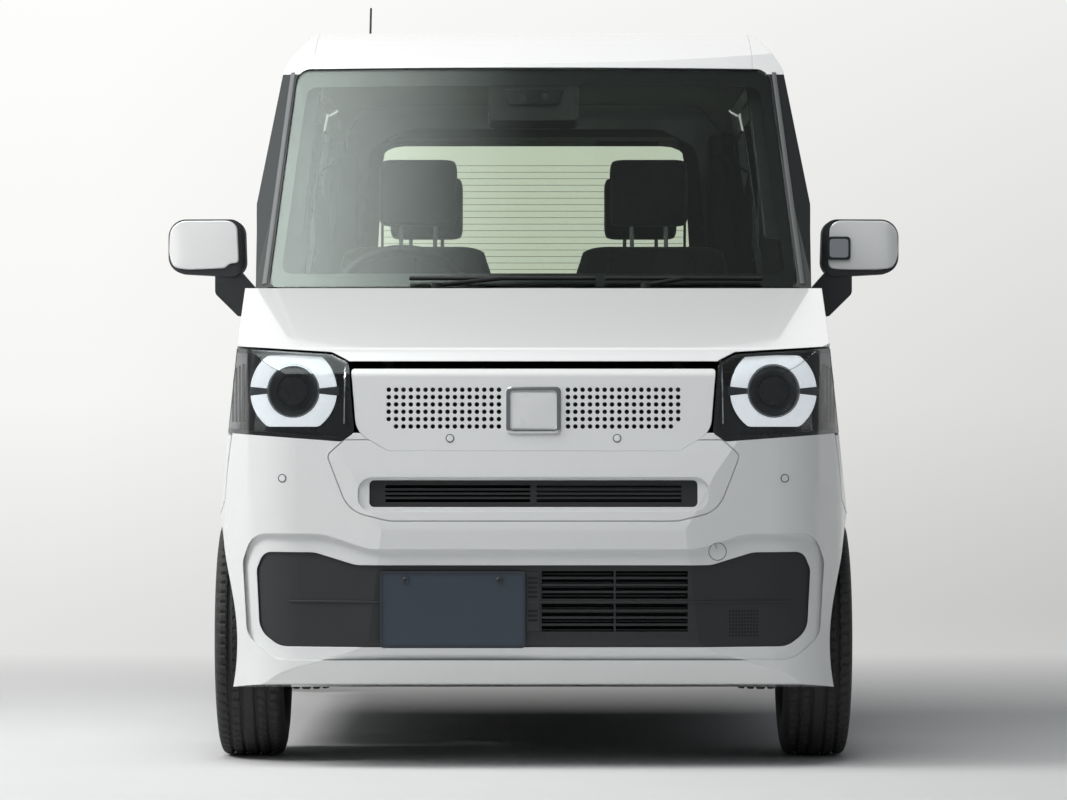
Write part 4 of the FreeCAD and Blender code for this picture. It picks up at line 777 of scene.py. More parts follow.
def geometry_tree(name, asked_for, build):
    """Geometry tree with named inputs: what build makes of them is realized and takes the finish."""
    tree = bpy.data.node_groups.new(name, "GeometryNodeTree")
    for label, kind, value in (("Geometry", "NodeSocketGeometry", None), *asked_for,
                               ("Finish", "NodeSocketMaterial", None)):
        socket = tree.interface.new_socket(label, in_out="INPUT", socket_type=kind)
        if value is not None:
            socket.default_value = value
    tree.interface.new_socket("Geometry", in_out="OUTPUT", socket_type="NodeSocketGeometry")
    asked = node(tree, "NodeGroupInput").outputs
    solid = node(tree, "GeometryNodeRealizeInstances", {"Geometry": build(tree, asked)})
    finish = node(tree, "GeometryNodeSetMaterial", {"Geometry": solid.outputs["Geometry"],
                                                    "Material": asked["Finish"]})
    node(tree, "NodeGroupOutput", {"Geometry": finish.outputs["Geometry"]})
    return tree


def bars_in_row(tree, asked):
    """One bar repeated along an offset."""
    row = node(tree, "GeometryNodeMeshLine", {"Count": asked["Bars"], "Offset": asked["Step"]})
    return node(tree, "GeometryNodeInstanceOnPoints", {
        "Points": row.outputs["Mesh"], "Instance": asked["Geometry"]}).outputs["Instances"]


repeated_bars = geometry_tree("repeated bars", (("Bars", "NodeSocketInt", 5), ("Step", "NodeSocketVector", None)),
                              bars_in_row)


def through_tree(name, verts, faces, tree, values, body, slot, settle=None, angle=35.0):
    """Runs a node tree on a mesh, keeps the result as a plain mesh and lets it ride on a body."""
    mesh = bpy.data.meshes.new(name + "_seed")
    mesh.from_pydata([tuple(vert) for vert in verts], [], faces)
    seed = shown(name + "_seed", mesh)
    modifier = seed.modifiers.new("tree", "NODES")
    modifier.node_group = tree
    for item in tree.interface.items_tree:
        if item.item_type == "SOCKET" and item.in_out == "INPUT" and item.name in values:
            modifier[item.identifier] = values[item.name]
    bpy.context.view_layer.update()
    result = bpy.data.meshes.new_from_object(seed.evaluated_get(bpy.context.evaluated_depsgraph_get()))
    bpy.data.objects.remove(seed)
    work = bmesh.new()
    work.from_mesh(result)
    if settle:
        for vert in work.verts:
            vert.co = settle(vert.co)
    bmesh.ops.recalc_face_normals(work, faces=work.faces)
    work.to_mesh(result)
    work.free()
    return ridden(name, result, body, slot, angle)


def on_rear_glass(place):
    """Carries a point of the flat print onto the inner face of the rear window; y is its height off the glass."""
    hit = struck(rear_skin, (place.x, 0.5, place.z), (0, 1, 0), 2.0)
    return Vector((place.x, (hit.y if hit else 1.62) - 0.0003 - place.y, place.z))


stations = 24
line_rows = []
for index in range(stations + 1):
    x = -heater_half + 2 * heater_half * index / stations
    line_rows.append([(x, 0.0, heater_low - 0.0006), (x, 0.0, heater_low + 0.0006),
                      (x, 0.0003, heater_low + 0.0006), (x, 0.0003, heater_low - 0.0006)])
through_tree("heater_lines", *loft(line_rows, capped=True), repeated_bars,
             {"Bars": heater_count, "Step": (0, 0, heater_pitch), "Finish": heater_print}, "tailgate", "tinted_glass",
             on_rear_glass)
rear_edge = outline_of([(-0.4960, 1.1520), (0.4960, 1.1520), (0.4640, 1.5960), (-0.4640, 1.5960)], 0.080, 0.030)
band_on("rear_window_band", rear_skin, rear_edge, drawn_in(rear_edge, 0.008, 0.008, 0.020), 0.0006, 0.0005,
        ceramic_black, "tailgate", "tinted_glass", toward=-1.0)
gate_skin = skin_of("tailgate")
opening = outline_of([(-0.5105, 1.1430), (0.5105, 1.1430), (0.4770, 1.6040), (-0.4770, 1.6040)], 0.085, 0.030)
gate_inner = drawn_in(opening, -0.045, -0.050, -0.020)
reveal = drawn_in(opening, 0.006, 0.006, 0.014)
edge_y = []
for x, z in gate_inner:
    hit = struck(gate_skin, (x, 0.5, z), (0, 1, 0), 2.0)
    edge_y.append((hit.y if hit else 1.50) - 0.003)
reveal_rows = []
for shape, places in ((gate_inner, edge_y), (drawn_in(opening, 0.001, 0.001, 0.004), edge_y),
                      (reveal, [place.y - 0.004 for place in laid(rear_skin, reveal, 0.0)])):
    reveal_rows.append([Vector((x, y, z)) for (x, z), y in zip(shape, places)])
trim_wall = Vector((0, 0.0025, 0))
piece_of("rear_window_trim", *loft(reveal_rows + [[p + trim_wall for p in row] for row in reversed(reveal_rows)],
                                   looped=True), trim_plastic, "tailgate", "interior_plastic")
for side in (-1, 1):
    x = side * 0.445
    strip = divided(span(x - 0.004, x + 0.004, 1.205, 1.530), 0.03)
    plate_on("heater_feed_" + place_name(side), rear_skin, strip, 0.0005, 0.0004, heater_print, "tailgate",
             "tinted_glass", toward=-1.0, rings=1)


# Wipers: stamped steel arms and natural rubber blades in satin black, on splined pivots that come
# up through the cowl. The cowl itself is a vented moulding along the foot of the glass.
wiper_black = finish_of("wiper black", (0.014, 0.014, 0.015), (0.030, 0.030, 0.032), 0.38, change=0.5, patch=20.0,
                        grain=1200.0, depth=0.00006)
dress(("wipers", "rear_wiper"), wiper_black)
black_plastic = finish_of("grained black plastic", (0.022, 0.024, 0.026), (0.032, 0.034, 0.037), 0.46, change=0.6,
                          patch=8.0, grain=1500.0, depth=0.00012, edge=0.002)
dress(("cowl_top", "antenna", "door_mirror_left", "door_mirror_right"), black_plastic)


# Headlamps: a black carrier behind a clear lens, with an opal light ring split at its sides, a
# projector in its middle, dark fins round it and a bright upright strip at the inner end.
clear_lens = glass_of("clear lamp lens", (0.93, 0.95, 0.96))
dress(("headlamp_lenses",), clear_lens)
lamp_black = finish_of("lamp carrier black", (0.012, 0.012, 0.013), (0.022, 0.022, 0.024), 0.25, change=0.5,
                       patch=12.0, grain=900.0, depth=0.00003)
dress(("headlamps",), lamp_black)
lamp_chrome = finish_of("lamp chrome", (0.62, 0.63, 0.64), (0.52, 0.53, 0.54), 0.10, change=0.3, patch=9.0,
                        grain=900.0, depth=0.00001, Metallic=1.0)
opal_ring = finish_of("opal light ring", (0.88, 0.90, 0.92), (0.80, 0.83, 0.86), 0.30, change=0.4, patch=16.0,
                      grain=500.0, depth=0.00004, Emission_Color=(0.93, 0.97, 1.0, 1), Emission_Strength=0.55)
projector_glass = glass_of("projector glass", (0.80, 0.86, 0.92), 0.02)
lamp_smoke = finish_of("lamp inner grey", (0.050, 0.053, 0.056), (0.070, 0.073, 0.077), 0.35, change=0.5, patch=10.0,
                       grain=1200.0, depth=0.00003)
lamp_middle_x, lamp_middle_z = 0.541, 0.849
ring_outer, ring_inner, ring_flat = 0.0985, 0.0600, 0.0800
nose_skin = skin_of("headlamp_lenses", "front_bumper", "bonnet", "grille_panel", "front_fenders")


def lamp_place(side, u, v, sink):
    """Point behind the lamp's lens: u away from the car's middle and v up, from the ring's centre."""
    x, z = side * (lamp_middle_x + u), lamp_middle_z + v
    hit = struck(nose_skin, (x, -3.0, z), (0, 1, 0), 2.2)
    return Vector((x, (-1.60 if hit is None else hit.y) + sink, z))


def arc_band(side, inner, outer, start, end, sink, thick, steps=40, swell=0.0):
    """Sections through part of a ring behind the lens, cut level at its top and bottom."""
    rows = []
    for step in range(steps + 1):
        turn = math.radians(start + (end - start) * step / steps)
        section = []
        for r, extra in ((inner, 0.0), (inner * 0.86 + outer * 0.14, -swell), (inner * 0.14 + outer * 0.86, -swell),
                         (outer, 0.0), (outer, thick), (inner, thick)):
            v = max(-ring_flat, min(ring_flat, r * math.sin(turn)))
            section.append(lamp_place(side, r * math.cos(turn), v, sink + extra))
        rows.append(section)
    return rows


def lamp_circle(side, r, sink, count):
    """Circle of places about the lamp's middle, at a depth behind the lens."""
    middle = lamp_place(side, 0.0, 0.0, sink)
    return [middle + Vector((r * math.cos(math.tau * k / count), 0, r * math.sin(math.tau * k / count)))
            for k in range(count)]


for name, side in sides:
    for half, start, end in (("upper", 6, 174), ("lower", 186, 354)):
        layered("light_ring_%s_%s" % (half, name), arc_band(
            side, ring_inner, ring_outer, start, end, 0.0155, 0.010, swell=0.002),
            opal_ring, "body", "clear_glass", 40.0)
        layered("ring_bezel_%s_%s" % (half, name), arc_band(
            side, 0.0560, ring_inner - 0.0006, start - 5, end + 5, 0.0150, 0.012),
            lamp_chrome, "body", "lamp_housing", 40.0)
    for end_name, start, end in (("inner", 174, 186), ("outer", -6, 6)):
        layered("ring_bar_%s_%s" % (end_name, name), arc_band(
            side, 0.0590, ring_outer + 0.004, start, end, 0.0165, 0.010, 6), lamp_smoke, "body", "lamp_housing")
    dish = [lamp_circle(side, r, sink, 48) for r, sink in (
        (0.0550, 0.0190), (0.0520, 0.0200), (0.0440, 0.0270), (0.0360, 0.0330), (0.0340, 0.0310),
        (0.0335, 0.0420), (0.0550, 0.0420))]
    piece_of("projector_bezel_" + name, *loft(dish, looped=True), lamp_smoke, "body", "lamp_housing")
    dome = []
    for step in range(9):
        turn = math.radians(90 * step / 8.4)
        dome.append(lamp_circle(side, 0.0325 * math.cos(turn), 0.0330 - 0.0150 * math.sin(turn), 40))
    layered("projector_" + name, [[p + Vector((0, 0.006, 0)) for p in dome[0]]] + dome, projector_glass, "body",
            "clear_glass", 50.0)
    layered("projector_cup_" + name, [lamp_circle(side, r, sink, 40) for r, sink in (
        (0.0318, 0.0402), (0.0318, 0.0460), (0.0200, 0.0500))], lamp_chrome, "body", "lamp_housing")
    for fin in range(4):
        u, low, high = 0.116 + fin * 0.0085, -0.070, 0.062 - fin * 0.004
        rows = [[lamp_place(side, u, v, 0.0180) + Vector(offset) for offset in (
            (-0.0018, 0, 0), (0.0018, 0, 0), (0.0018, 0.012, 0), (-0.0018, 0.012, 0))]
            for v in (low, low * 0.4, high * 0.4, high)]
        layered("lamp_fin_%d_%s" % (fin, name), rows, lamp_smoke, "body", "lamp_housing")
    strip_rows = []
    for step in range(9):
        place = lamp_place(side, -0.1165 - 0.002 * step / 8, -0.074 + 0.148 * step / 8, 0.0105)
        strip_rows.append([place + Vector(offset) for offset in (
            (-0.0028, 0.001, 0), (0, -0.0008, 0), (0.0028, 0.001, 0), (0.0028, 0.008, 0), (-0.0028, 0.008, 0))])
    layered("lamp_end_strip_" + name, strip_rows, lamp_chrome, "body", "clear_glass", 50.0)


# Grille panel: painted moulding between the lamps, punched with two fields of small round holes in
# six rows, over a dark duct. A bare chromed frame marks its middle, and it clips to the front frame.
# The same near-black also paints the shade in the lower grille's pits and in its middle strip's slots.
duct_and_hole_shade_black = finish_of("duct and painted hole shade black", (0.006, 0.006, 0.006), (0.012, 0.012, 0.012), 0.70, change=0.4, patch=20.0,
                       grain=700.0, depth=0.0002)
badge_chrome = finish_of("badge chrome", (0.62, 0.63, 0.64), (0.50, 0.51, 0.52), 0.14, change=0.3, patch=12.0,
                         grain=1200.0, depth=0.00001, edge=0.0012, Metallic=1.0)
badge_white = finish_of("badge field white", (0.74, 0.75, 0.75), (0.66, 0.67, 0.67), 0.25, change=0.4, patch=12.0,
                        grain=1400.0, depth=0.00002, Coat_Weight=0.6)
hole_radius, hole_pitch = 0.0052, 0.0165
hole_first_x, hole_top_z = 0.0775, 0.8520
hole_columns, hole_rows = 16, 6


def cylinders_at(tree, asked, facets, radius, depth):
    """Short cylinders along the car, one at each point."""
    rod = node(tree, "GeometryNodeMeshCylinder", {"Vertices": facets, "Radius": radius, "Depth": depth})
    return node(tree, "GeometryNodeInstanceOnPoints", {
        "Points": asked["Geometry"], "Instance": rod.outputs["Mesh"],
        "Rotation": (math.radians(90), 0, 0)}).outputs["Instances"]


def perforated(tree, asked):
    """Panel cut by a drill at each point."""
    drills = cylinders_at(tree, asked, 14, asked["Hole Radius"], asked["Drill Length"])
    cutters = node(tree, "GeometryNodeRealizeInstances", {"Geometry": drills})
    panel = node(tree, "GeometryNodeObjectInfo", {"Object": asked["Panel"]})
    return node(tree, "GeometryNodeMeshBoolean", {
        "Mesh 1": panel.outputs["Geometry"], "Mesh 2": cutters.outputs["Geometry"]},
        operation="DIFFERENCE").outputs["Mesh"]


perforations = geometry_tree("perforations", (
    ("Panel", "NodeSocketObject", None), ("Hole Radius", "NodeSocketFloat", 0.005),
    ("Drill Length", "NodeSocketFloat", 0.08)), perforated)


def merged_copy(name):
    """Object with a copy of a fixed node's mesh, its loose triangles joined."""
    mesh = nodes[name].data.copy()
    work = bmesh.new()
    work.from_mesh(mesh)
    bmesh.ops.remove_doubles(work, verts=work.verts, dist=0.00002)
    bmesh.ops.dissolve_limit(work, angle_limit=math.radians(0.2), verts=work.verts, edges=work.edges)
    bmesh.ops.triangulate(work, faces=work.faces)
    work.to_mesh(mesh)
    work.free()
    return shown(name + "_copy", mesh)


def carry_normals(mesh, name):
    """Gives a cut copy of a fixed node the smooth normals of the node's own faces."""
    source = nodes[name].data
    skin = skin_of(name)
    first_loops = [polygon.loop_start for polygon in source.polygons]
    normals = [Vector(corner.vector) for corner in source.corner_normals]
    carried = []
    for polygon in mesh.polygons:
        for loop_index in polygon.loop_indices:
            place = mesh.vertices[mesh.loops[loop_index].vertex_index].co
            inside = place + (polygon.center - place) * 0.02
            hit, flat, found, distance = skin.find_nearest(inside)
            if found is None or distance > 0.0004 or flat.dot(polygon.normal) < 0.7:
                carried.append(polygon.normal.copy())
                continue
            a, b, c = [source.vertices[index].co for index in source.polygons[found].vertices][:3]
            whole = (b - a).cross(c - a)
            area = whole.length_squared
            if area < 1e-18:
                carried.append(polygon.normal.copy())
                continue
            u = (c - b).cross(hit - b).dot(whole) / area
            v = (a - c).cross(hit - c).dot(whole) / area
            start = first_loops[found]
            blend = normals[start] * u + normals[start + 1] * v + normals[start + 2] * (1 - u - v)
            carried.append(blend.normalized())
    mesh.normals_split_custom_set(carried)


panel_copy = merged_copy("grille_panel")
drill_places = [(side * (hole_first_x + column * hole_pitch), -1.66, hole_top_z - row * hole_pitch)
                for side in (-1, 1) for column in range(hole_columns) for row in range(hole_rows)
                if (column, row) != (hole_columns - 1, hole_rows - 1)]
grille_panel = through_tree("perforated_panel", drill_places, [], perforations,
                            {"Panel": panel_copy, "Hole Radius": hole_radius, "Drill Length": 0.10,
                             "Finish": panel_paint}, "body", "body_paint", angle=30.0)
bpy.data.objects.remove(panel_copy)
carry_normals(grille_panel.data, "grille_panel")
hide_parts("grille_panel")
panel_skin = skin_of("grille_panel")
for name, side in sides:
    duct = divided(span(side * 0.066, side * 0.338, 0.760, 0.862), 0.03)
    plate_on("grille_duct_" + name, panel_skin, duct, -0.0145, 0.002, duct_and_hole_shade_black, "body", "black_trim", rings=4)
frame_outer = rounded(box_outline(0, 0.8060, 0.0615, 0.0525), 0.0130, 7)
frame_inner = rounded(box_outline(0, 0.8060, 0.0525, 0.0435), 0.0080, 7)
band_on("badge_frame", panel_skin, frame_outer, frame_inner, 0.0032, 0.0042, badge_chrome, "body", "steel")
badge_outline = rounded(box_outline(0, 0.8060, 0.0500, 0.0410), 0.0070, 6)
plate_on("badge_field", panel_skin, divided(badge_outline, 0.02), 0.0010, 0.0020, badge_white, "body", "body_paint",
         rings=4, crown=0.0012)


# Parking sensors: small round heads in body colour, each in a thin rubber ring pressed into the
# grille panel and the bumper.
sensor_ring = finish_of("sensor rubber ring and painted gap shade", (0.080, 0.083, 0.085), (0.110, 0.113, 0.116), 0.70, change=0.4,
                        patch=20.0, grain=800.0, depth=0.00005)
bumper_skin = skin_of("front_bumper")
for x, z, skin in ((-0.1875, 0.7430, panel_skin), (0.1875, 0.7430, panel_skin), (-0.5650, 0.6530, bumper_skin),
                   (0.5650, 0.6530, bumper_skin)):
    label = place_name(x)
    band_on("sensor_ring_" + label, skin, round_outline(x, z, 0.0096), round_outline(x, z, 0.0078), 0.0006, 0.002,
            sensor_ring, "body", "black_trim", rows=1)
    plate_on("sensor_head_" + label, skin, round_outline(x, z, 0.0074), 0.0010, 0.002, panel_paint, "body",
             "body_paint", rings=2)


# Upper air slot and lower grille: black mouldings clipped behind the bumper, with level bars, fine
# fins over the cooler, a raised rib and a patch of small holes on one side. The patch's holes and the
# slots in the middle strip are near-black discs and plates laid on the face: painted shade.
grille_black = finish_of("grille black", (0.020, 0.0215, 0.023), (0.030, 0.032, 0.034), 0.50, change=0.6,
                         patch=8.0, grain=1500.0, depth=0.00012, edge=0.002)
dress(("bumper_grilles",), grille_black)
grille_skin = skin_of("bumper_grilles")


def nose_y_at(x, z):
    """Place along the car of the smooth nose surface in front of the grilles."""
    for dx, dz in ((0, 0), (0, 0.02), (0, -0.02), (0, 0.035), (0, -0.035)):
        hit = struck(grille_skin, (x + dx, -3.0, z + dz), (0, 1, 0), 1.36)
        if hit is not None:
            return hit.y
    return -1.67


def bars_behind(name, low, high, count, step, sink, parts):
    """Row of slim level bars between corners (x, z) of the first one, set behind the grille's face."""
    rows = []
    for index in range(parts + 1):
        x = low[0] + (high[0] - low[0]) * (index / parts)
        rows.append([(x, 0.0, low[1]), (x, sink, low[1]), (x, sink, high[1]), (x, 0.0, high[1])])
    face_y = {}

    def settle(place):
        key = round(place.x, 3)
        if key not in face_y:
            face_y[key] = nose_y_at(place.x, (low[1] + high[1]) / 2 + step[2] * (count - 1) / 2)
        return Vector((place.x, face_y[key] + place.y + 0.004, place.z))

    return through_tree(name, *loft(rows, capped=True), repeated_bars,
                        {"Bars": count, "Step": step, "Finish": grille_black}, "body", "black_trim", settle)


bars_behind("slot_fins", (0.010, 0.5985), (0.331, 0.6000), 10, (0, 0, 0.0042), 0.012, 16)
bars_behind("slot_fins_low", (0.010, 0.5985), (0.331, 0.6000), 3, (0, 0, -0.0042), 0.012, 16)
for x_low, x_high in ((0.0185, 0.1775), (0.1845, 0.3430)):
    for z_low in (0.3085, 0.3850):
        bars_behind("cooler_fins_%03d_%03d" % (x_low * 1000, z_low * 1000), (x_low, z_low + 0.004),
                    (x_high, z_low + 0.0060), 6, (0, 0, 0.0098), 0.010, 10)
groove_path = [(-0.550 + 0.0275 * k, 0.3765) for k in range(42)]
ribbon_on("lower_grille_rib", grille_skin, groove_path, 0.0022, 0.0026, 0.003, grille_black)
strip_outline = divided(span(-0.0175, 0.0145, 0.3110, 0.4430), 0.02)
plate_on("grille_strip", grille_skin, strip_outline, 0.0022, 0.004, grille_black, "body", "black_trim", rings=2,
         soft=0.001)
# The strip's slots are thin near-black plates laid proud of its face: painted shade in place of openings.
for index in range(8):
    z = 0.4300 - index * 0.0105 if index < 5 else 0.3560 - (index - 5) * 0.0105
    slot_shape = divided(span(-0.0120, 0.0090, z - 0.0026, z + 0.0026), 0.01)
    plate_on("strip_slot_%d" % index, grille_skin, slot_shape, 0.0026, 0.001, duct_and_hole_shade_black, "body", "black_trim",
             rings=1)
patch_holes = [(0.4415 + column * 0.0068, 0.0, 0.3000 + row * 0.0078) for column in range(10) for row in range(8)]


def on_grille(place):
    """Carries a point of the flat patch onto the grille's face."""
    hit = struck(grille_skin, (place.x, -3.0, place.z), (0, 1, 0), 1.4)
    return Vector((place.x, (hit.y if hit else -1.65) + place.y - 0.0001, place.z))


# Each pit is a near-black disc laid on the grille's face: painted shade in place of a hole.
patch_pits = geometry_tree("patch pits", (("Pit Radius", "NodeSocketFloat", 0.002),),
                           lambda tree, asked: cylinders_at(tree, asked, 10, asked["Pit Radius"], 0.0010))
through_tree("grille_patch_pits", patch_holes, [], patch_pits, {"Pit Radius": 0.0023, "Finish": duct_and_hole_shade_black}, "body",
             "black_trim", on_grille)


# Tow eye cover: a round painted cap in the bumper, held by a strap behind it, with a thin gap all
# the way round. The gap is a dark ring laid on the bumper's face: painted shade.
cover_x, cover_z = 0.4130, 0.4890
# The gap's dark ring, in the sensor rings' rubber colour, is painted shade between the cap and the bumper.
band_on("tow_cover_gap", bumper_skin, round_outline(cover_x, cover_z, 0.0205, 40),
        round_outline(cover_x, cover_z, 0.0190, 40), 0.0003, 0.001, sensor_ring, "body", "black_trim", rows=1)
plate_on("tow_cover", bumper_skin, round_outline(cover_x, cover_z, 0.0188, 40), 0.0006, 0.002, panel_paint, "body",
         "body_paint", rings=3)


# Number plate: a blank pressed sheet of painted aluminium with a raised rim, bolted to a black
# backing over the lower grille, left of the middle as the driver of an oncoming car sees it.
plate_blue = finish_of("blank plate slate blue", (0.038, 0.052, 0.070), (0.050, 0.066, 0.086), 0.45, change=0.6,
                       patch=10.0, grain=1600.0, depth=0.00006)
plate_rim = finish_of("plate rim", (0.030, 0.036, 0.044), (0.045, 0.052, 0.060), 0.40, change=0.5, patch=10.0,
                      grain=1200.0, depth=0.00005)
plate_low, plate_high = Vector((-0.3440, 0.2730)), Vector((-0.0180, 0.4455))
plate_middle = (plate_low + plate_high) / 2
plate_half = (plate_high - plate_low) / 2
plate_y = min(nose_y_at(x, 0.36) for x in (-0.33, -0.18, -0.03)) - 0.0070


def flat_plate(name, middle, half, face_y, back_y, corner, material, body, toward=1.0, soft=0.0012):
    """Flat sheet with rounded corners and softened front edges, upright across the car."""
    return layered(name, [
        upright(rounded(box_outline(*middle, half[0] - shrink, half[1] - shrink), corner), y)
        for y, shrink in ((back_y, 0.0), (face_y + soft * toward, 0.0), (face_y, soft))],
        material, body, "black_trim")


flat_plate("front_plate", plate_middle, plate_half, plate_y, plate_y + 0.0030, 0.010, plate_blue, "body")
rim_outer = rounded(box_outline(*plate_middle, *plate_half), 0.010)
rim_inner = rounded(box_outline(*plate_middle, plate_half.x - 0.0045, plate_half.y - 0.0045), 0.008)
piece_of("front_plate_rim", *loft([upright(shape, y) for y, shape in (
    (plate_y + 0.0035, rim_outer), (plate_y - 0.0022, rim_outer), (plate_y - 0.0022, rim_inner),
    (plate_y + 0.0005, rim_inner))], looped=True), plate_rim, "body", "black_trim")
flat_plate("front_plate_backing", plate_middle, plate_half * 0.82, plate_y + 0.0032, plate_y + 0.0130, 0.006,
           grille_black, "body")
for x in (-0.105, 0.105):
    bolt = [upright(round_outline(plate_middle.x + x, plate_middle.y + 0.066, r, 24), plate_y + y) for r, y in (
        (0.0078, 0.0), (0.0078, -0.0022), (0.0062, -0.0036), (0.0040, -0.0036), (0.0036, -0.0018))]
    layered("front_plate_bolt_" + place_name(x), bolt, plate_rim, "body", "steel")


# Door mirrors: black moulded heads on short feet bolted to the doors, with snap-on caps in body
# colour over their fronts, heated flat glass, and a small kerb mirror in the left head.
mirror_silver = finish_of("mirror silver", (0.80, 0.82, 0.84), (0.76, 0.78, 0.80), 0.03, change=0.2, patch=6.0,
                          grain=600.0, depth=0.000005, Metallic=1.0)
for name, side in sides:
    body = "front_door_" + name
    head_skin = skin_of("door_mirror_" + name)
    low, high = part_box("door_mirror_" + name)
    out_x = high.x if side > 0 else -low.x
    in_x = 0.716
    cap = [(in_x, 1.162), (in_x + 0.004, 1.252), (in_x + 0.022, 1.2660), (out_x - 0.030, 1.2655),
           (out_x - 0.006, 1.244), (out_x - 0.0035, 1.185), (out_x - 0.014, 1.152), (out_x - 0.050, 1.1465),
           (in_x + 0.034, 1.1500), (in_x + 0.022, 1.1620)]
    if side > 0:
        cap = [(in_x, 1.150), (in_x + 0.004, 1.252), (in_x + 0.022, 1.2660), (out_x - 0.030, 1.2655),
               (out_x - 0.006, 1.244), (out_x - 0.0035, 1.185), (out_x - 0.014, 1.152), (out_x - 0.050, 1.1465),
               (in_x + 0.034, 1.1465)]
    outline = outline_of([(side * x, z) for x, z in cap], 0.016, 0.014)
    plate_on("mirror_cap_" + name, head_skin, outline, 0.0030, 0.0045, panel_paint, body, "body_paint", rings=6,
             crown=0.0012, soft=0.0020)
    glass = [(side * x, z) for x, z in ((in_x + 0.012, 1.146), (in_x + 0.016, 1.255), (out_x - 0.030, 1.257),
                                        (out_x - 0.014, 1.235), (out_x - 0.014, 1.160), (out_x - 0.040, 1.142))]
    outline = outline_of(glass, 0.018, 0.02)
    plate_on("mirror_glass_" + name, head_skin, outline, 0.0010, 0.0020, mirror_silver, body, "clear_glass",
             toward=-1.0, rings=2)
    band_on("mirror_rim_" + name, head_skin, outline, drawn_in(outline, 0.004, 0.004, 0.004), 0.0022, 0.0030,
            black_plastic, body, "black_trim", toward=-1.0, rows=1)
kerb_skin = skin_of("door_mirror_left")
kerb_frame = outline_of(span(0.7135, 0.7700, 1.170, 1.2270), 0.010, 0.012)
plate_on("kerb_mirror_frame", kerb_skin, kerb_frame, 0.0090, 0.010, black_plastic, "front_door_left", "black_trim",
         rings=3, crown=0.001, soft=0.002)
kerb_glass = outline_of(span(0.7195, 0.7640, 1.176, 1.2210), 0.008, 0.012)
plate_on("kerb_mirror_glass", kerb_skin, kerb_glass, 0.0106, 0.0012, mirror_silver, "front_door_left", "clear_glass",
         rings=2, crown=0.0004)


# Door furniture: rubber weather strips along the foot of the windows, a chromed lock cylinder on the
# driver's door and covers over the sliding doors' rails. The pull handles are part of the doors.
seal_rubber = finish_of("seal rubber", (0.014, 0.014, 0.014), (0.026, 0.026, 0.026), 0.62, change=0.5, patch=16.0,
                        grain=1100.0, depth=0.00008)


def side_strip(name, skin, side, path, half_wide, proud, sink, material, body, slot):
    """Moulding of even height along a path (y, z) on the car's side."""
    places = laid(skin, path, 0.0, -side, across=True)
    section = ((-1.0, -sink), (-1.0, proud * 0.6), (-0.6, proud), (0.6, proud), (1.0, proud * 0.6), (1.0, -sink))
    rows = []
    for index, place in enumerate(places):
        along = (places[min(len(places) - 1, index + 1)] - places[max(0, index - 1)]).normalized()
        normal = (Vector((side, 0, 0)) - along * along.x * side).normalized()
        beside = along.cross(normal).normalized()
        rows.append([place + beside * half_wide * u + normal * v for u, v in section])
    return layered(name, rows, material, body, slot, 50.0)


def side_plate(name, skin, side, outline, lift, thick, crown, material, body, slot):
    """Plate with an outline (y, z) laid on the car's side, its middle swelled by a crown."""
    rows = [laid(skin, outline, lift - thick, -side, across=True)]
    for share in (1.0, 0.51, 0.02):
        rows.append(laid(skin, shrunk(outline, share), lift + crown * (1 - share * share), -side, across=True))
    return layered(name, rows, material, body, slot, 40.0)


for name, side in sides:
    door_skin = skin_of("front_door_" + name)
    path = [(-0.800 + 0.0365 * k, 1.0560) for k in range(24)]
    side_strip("door_weather_strip_" + name, door_skin, side, path, 0.0060, 0.0022, 0.002, seal_rubber,
               "front_door_" + name, "black_trim")
    if side < 0:
        side_plate("door_lock_" + name, door_skin, side, round_outline(-0.0020, 0.9700, 0.0085, 28), 0.0018, 0.002,
                   0.0008, lamp_chrome, "front_door_" + name, "steel")
    slide_skin = skin_of("sliding_doors")
    path = [(0.175 + 0.0320 * k, 1.0560) for k in range(24)]
    side_strip("slide_weather_strip_" + name, slide_skin, side, path, 0.0060, 0.0022, 0.002, seal_rubber, "body",
               "black_trim")
    wall_skin = skin_of("body_side_" + name)
    path = [(0.9700 + 0.0215 * k, 0.9300) for k in range(27)]
    side_strip("slide_rail_" + name, wall_skin, side, path, 0.0050, 0.0015, 0.002, seal_rubber, "body", "black_trim")


# Roof: one plain pressed panel, with black mouldings in the two ditches that hide the spot welds to
# the body sides. The antenna screws into a rubber foot and has a wire wound round it.
ditch_section = ((-0.0065, -0.004), (-0.0065, 0.0), (-0.0035, 0.0012), (0.0035, 0.0012), (0.0065, -0.0008),
                 (0.0065, -0.004))
ditch_x, beside_ditch_x, ditch_front, ditch_rear = 0.5515, 0.535, -0.470, 1.440
for name, side in sides:
    rows = []
    for index in range(41):
        y = ditch_front + index * (ditch_rear - ditch_front) / 40
        hit = struck(roof_skin, (side * beside_ditch_x, y, 2.2), (0, 0, -1), 1.0)
        z = hit.z - 0.0022 if hit else 1.76
        rows.append([Vector((side * ditch_x + dx, y, z + dz)) for dx, dz in ditch_section])
    layered("roof_ditch_moulding_" + name, rows, seal_rubber, "body", "black_trim", 50.0)
antenna_low, antenna_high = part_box("antenna")
foot_x = (antenna_low.x + antenna_high.x) / 2
tip = Vector((foot_x, antenna_high.y - 0.0035, antenna_high.z - 0.0035))
root = Vector((foot_x, antenna_low.y + 0.017, antenna_low.z + 0.010))
lean = tip - root
lift = lean.normalized()
across = lift.orthogonal().normalized()
other = lift.cross(across)
turns, steps = 26, 26 * 10
winding_radius, wire_radius = 0.0031, 0.0006
coil = []
for step in range(steps + 1):
    share = 0.14 + 0.80 * step / steps
    turn = math.tau * turns * step / steps
    middle = root + lean * share + (across * math.cos(turn) + other * math.sin(turn)) * winding_radius
    coil.append([middle + across * wire_radius * math.cos(math.tau * k / 5)
                 + lift * wire_radius * math.sin(math.tau * k / 5) for k in range(5)])
layered("antenna_winding", coil, black_plastic, "body", "black_trim", 60.0)


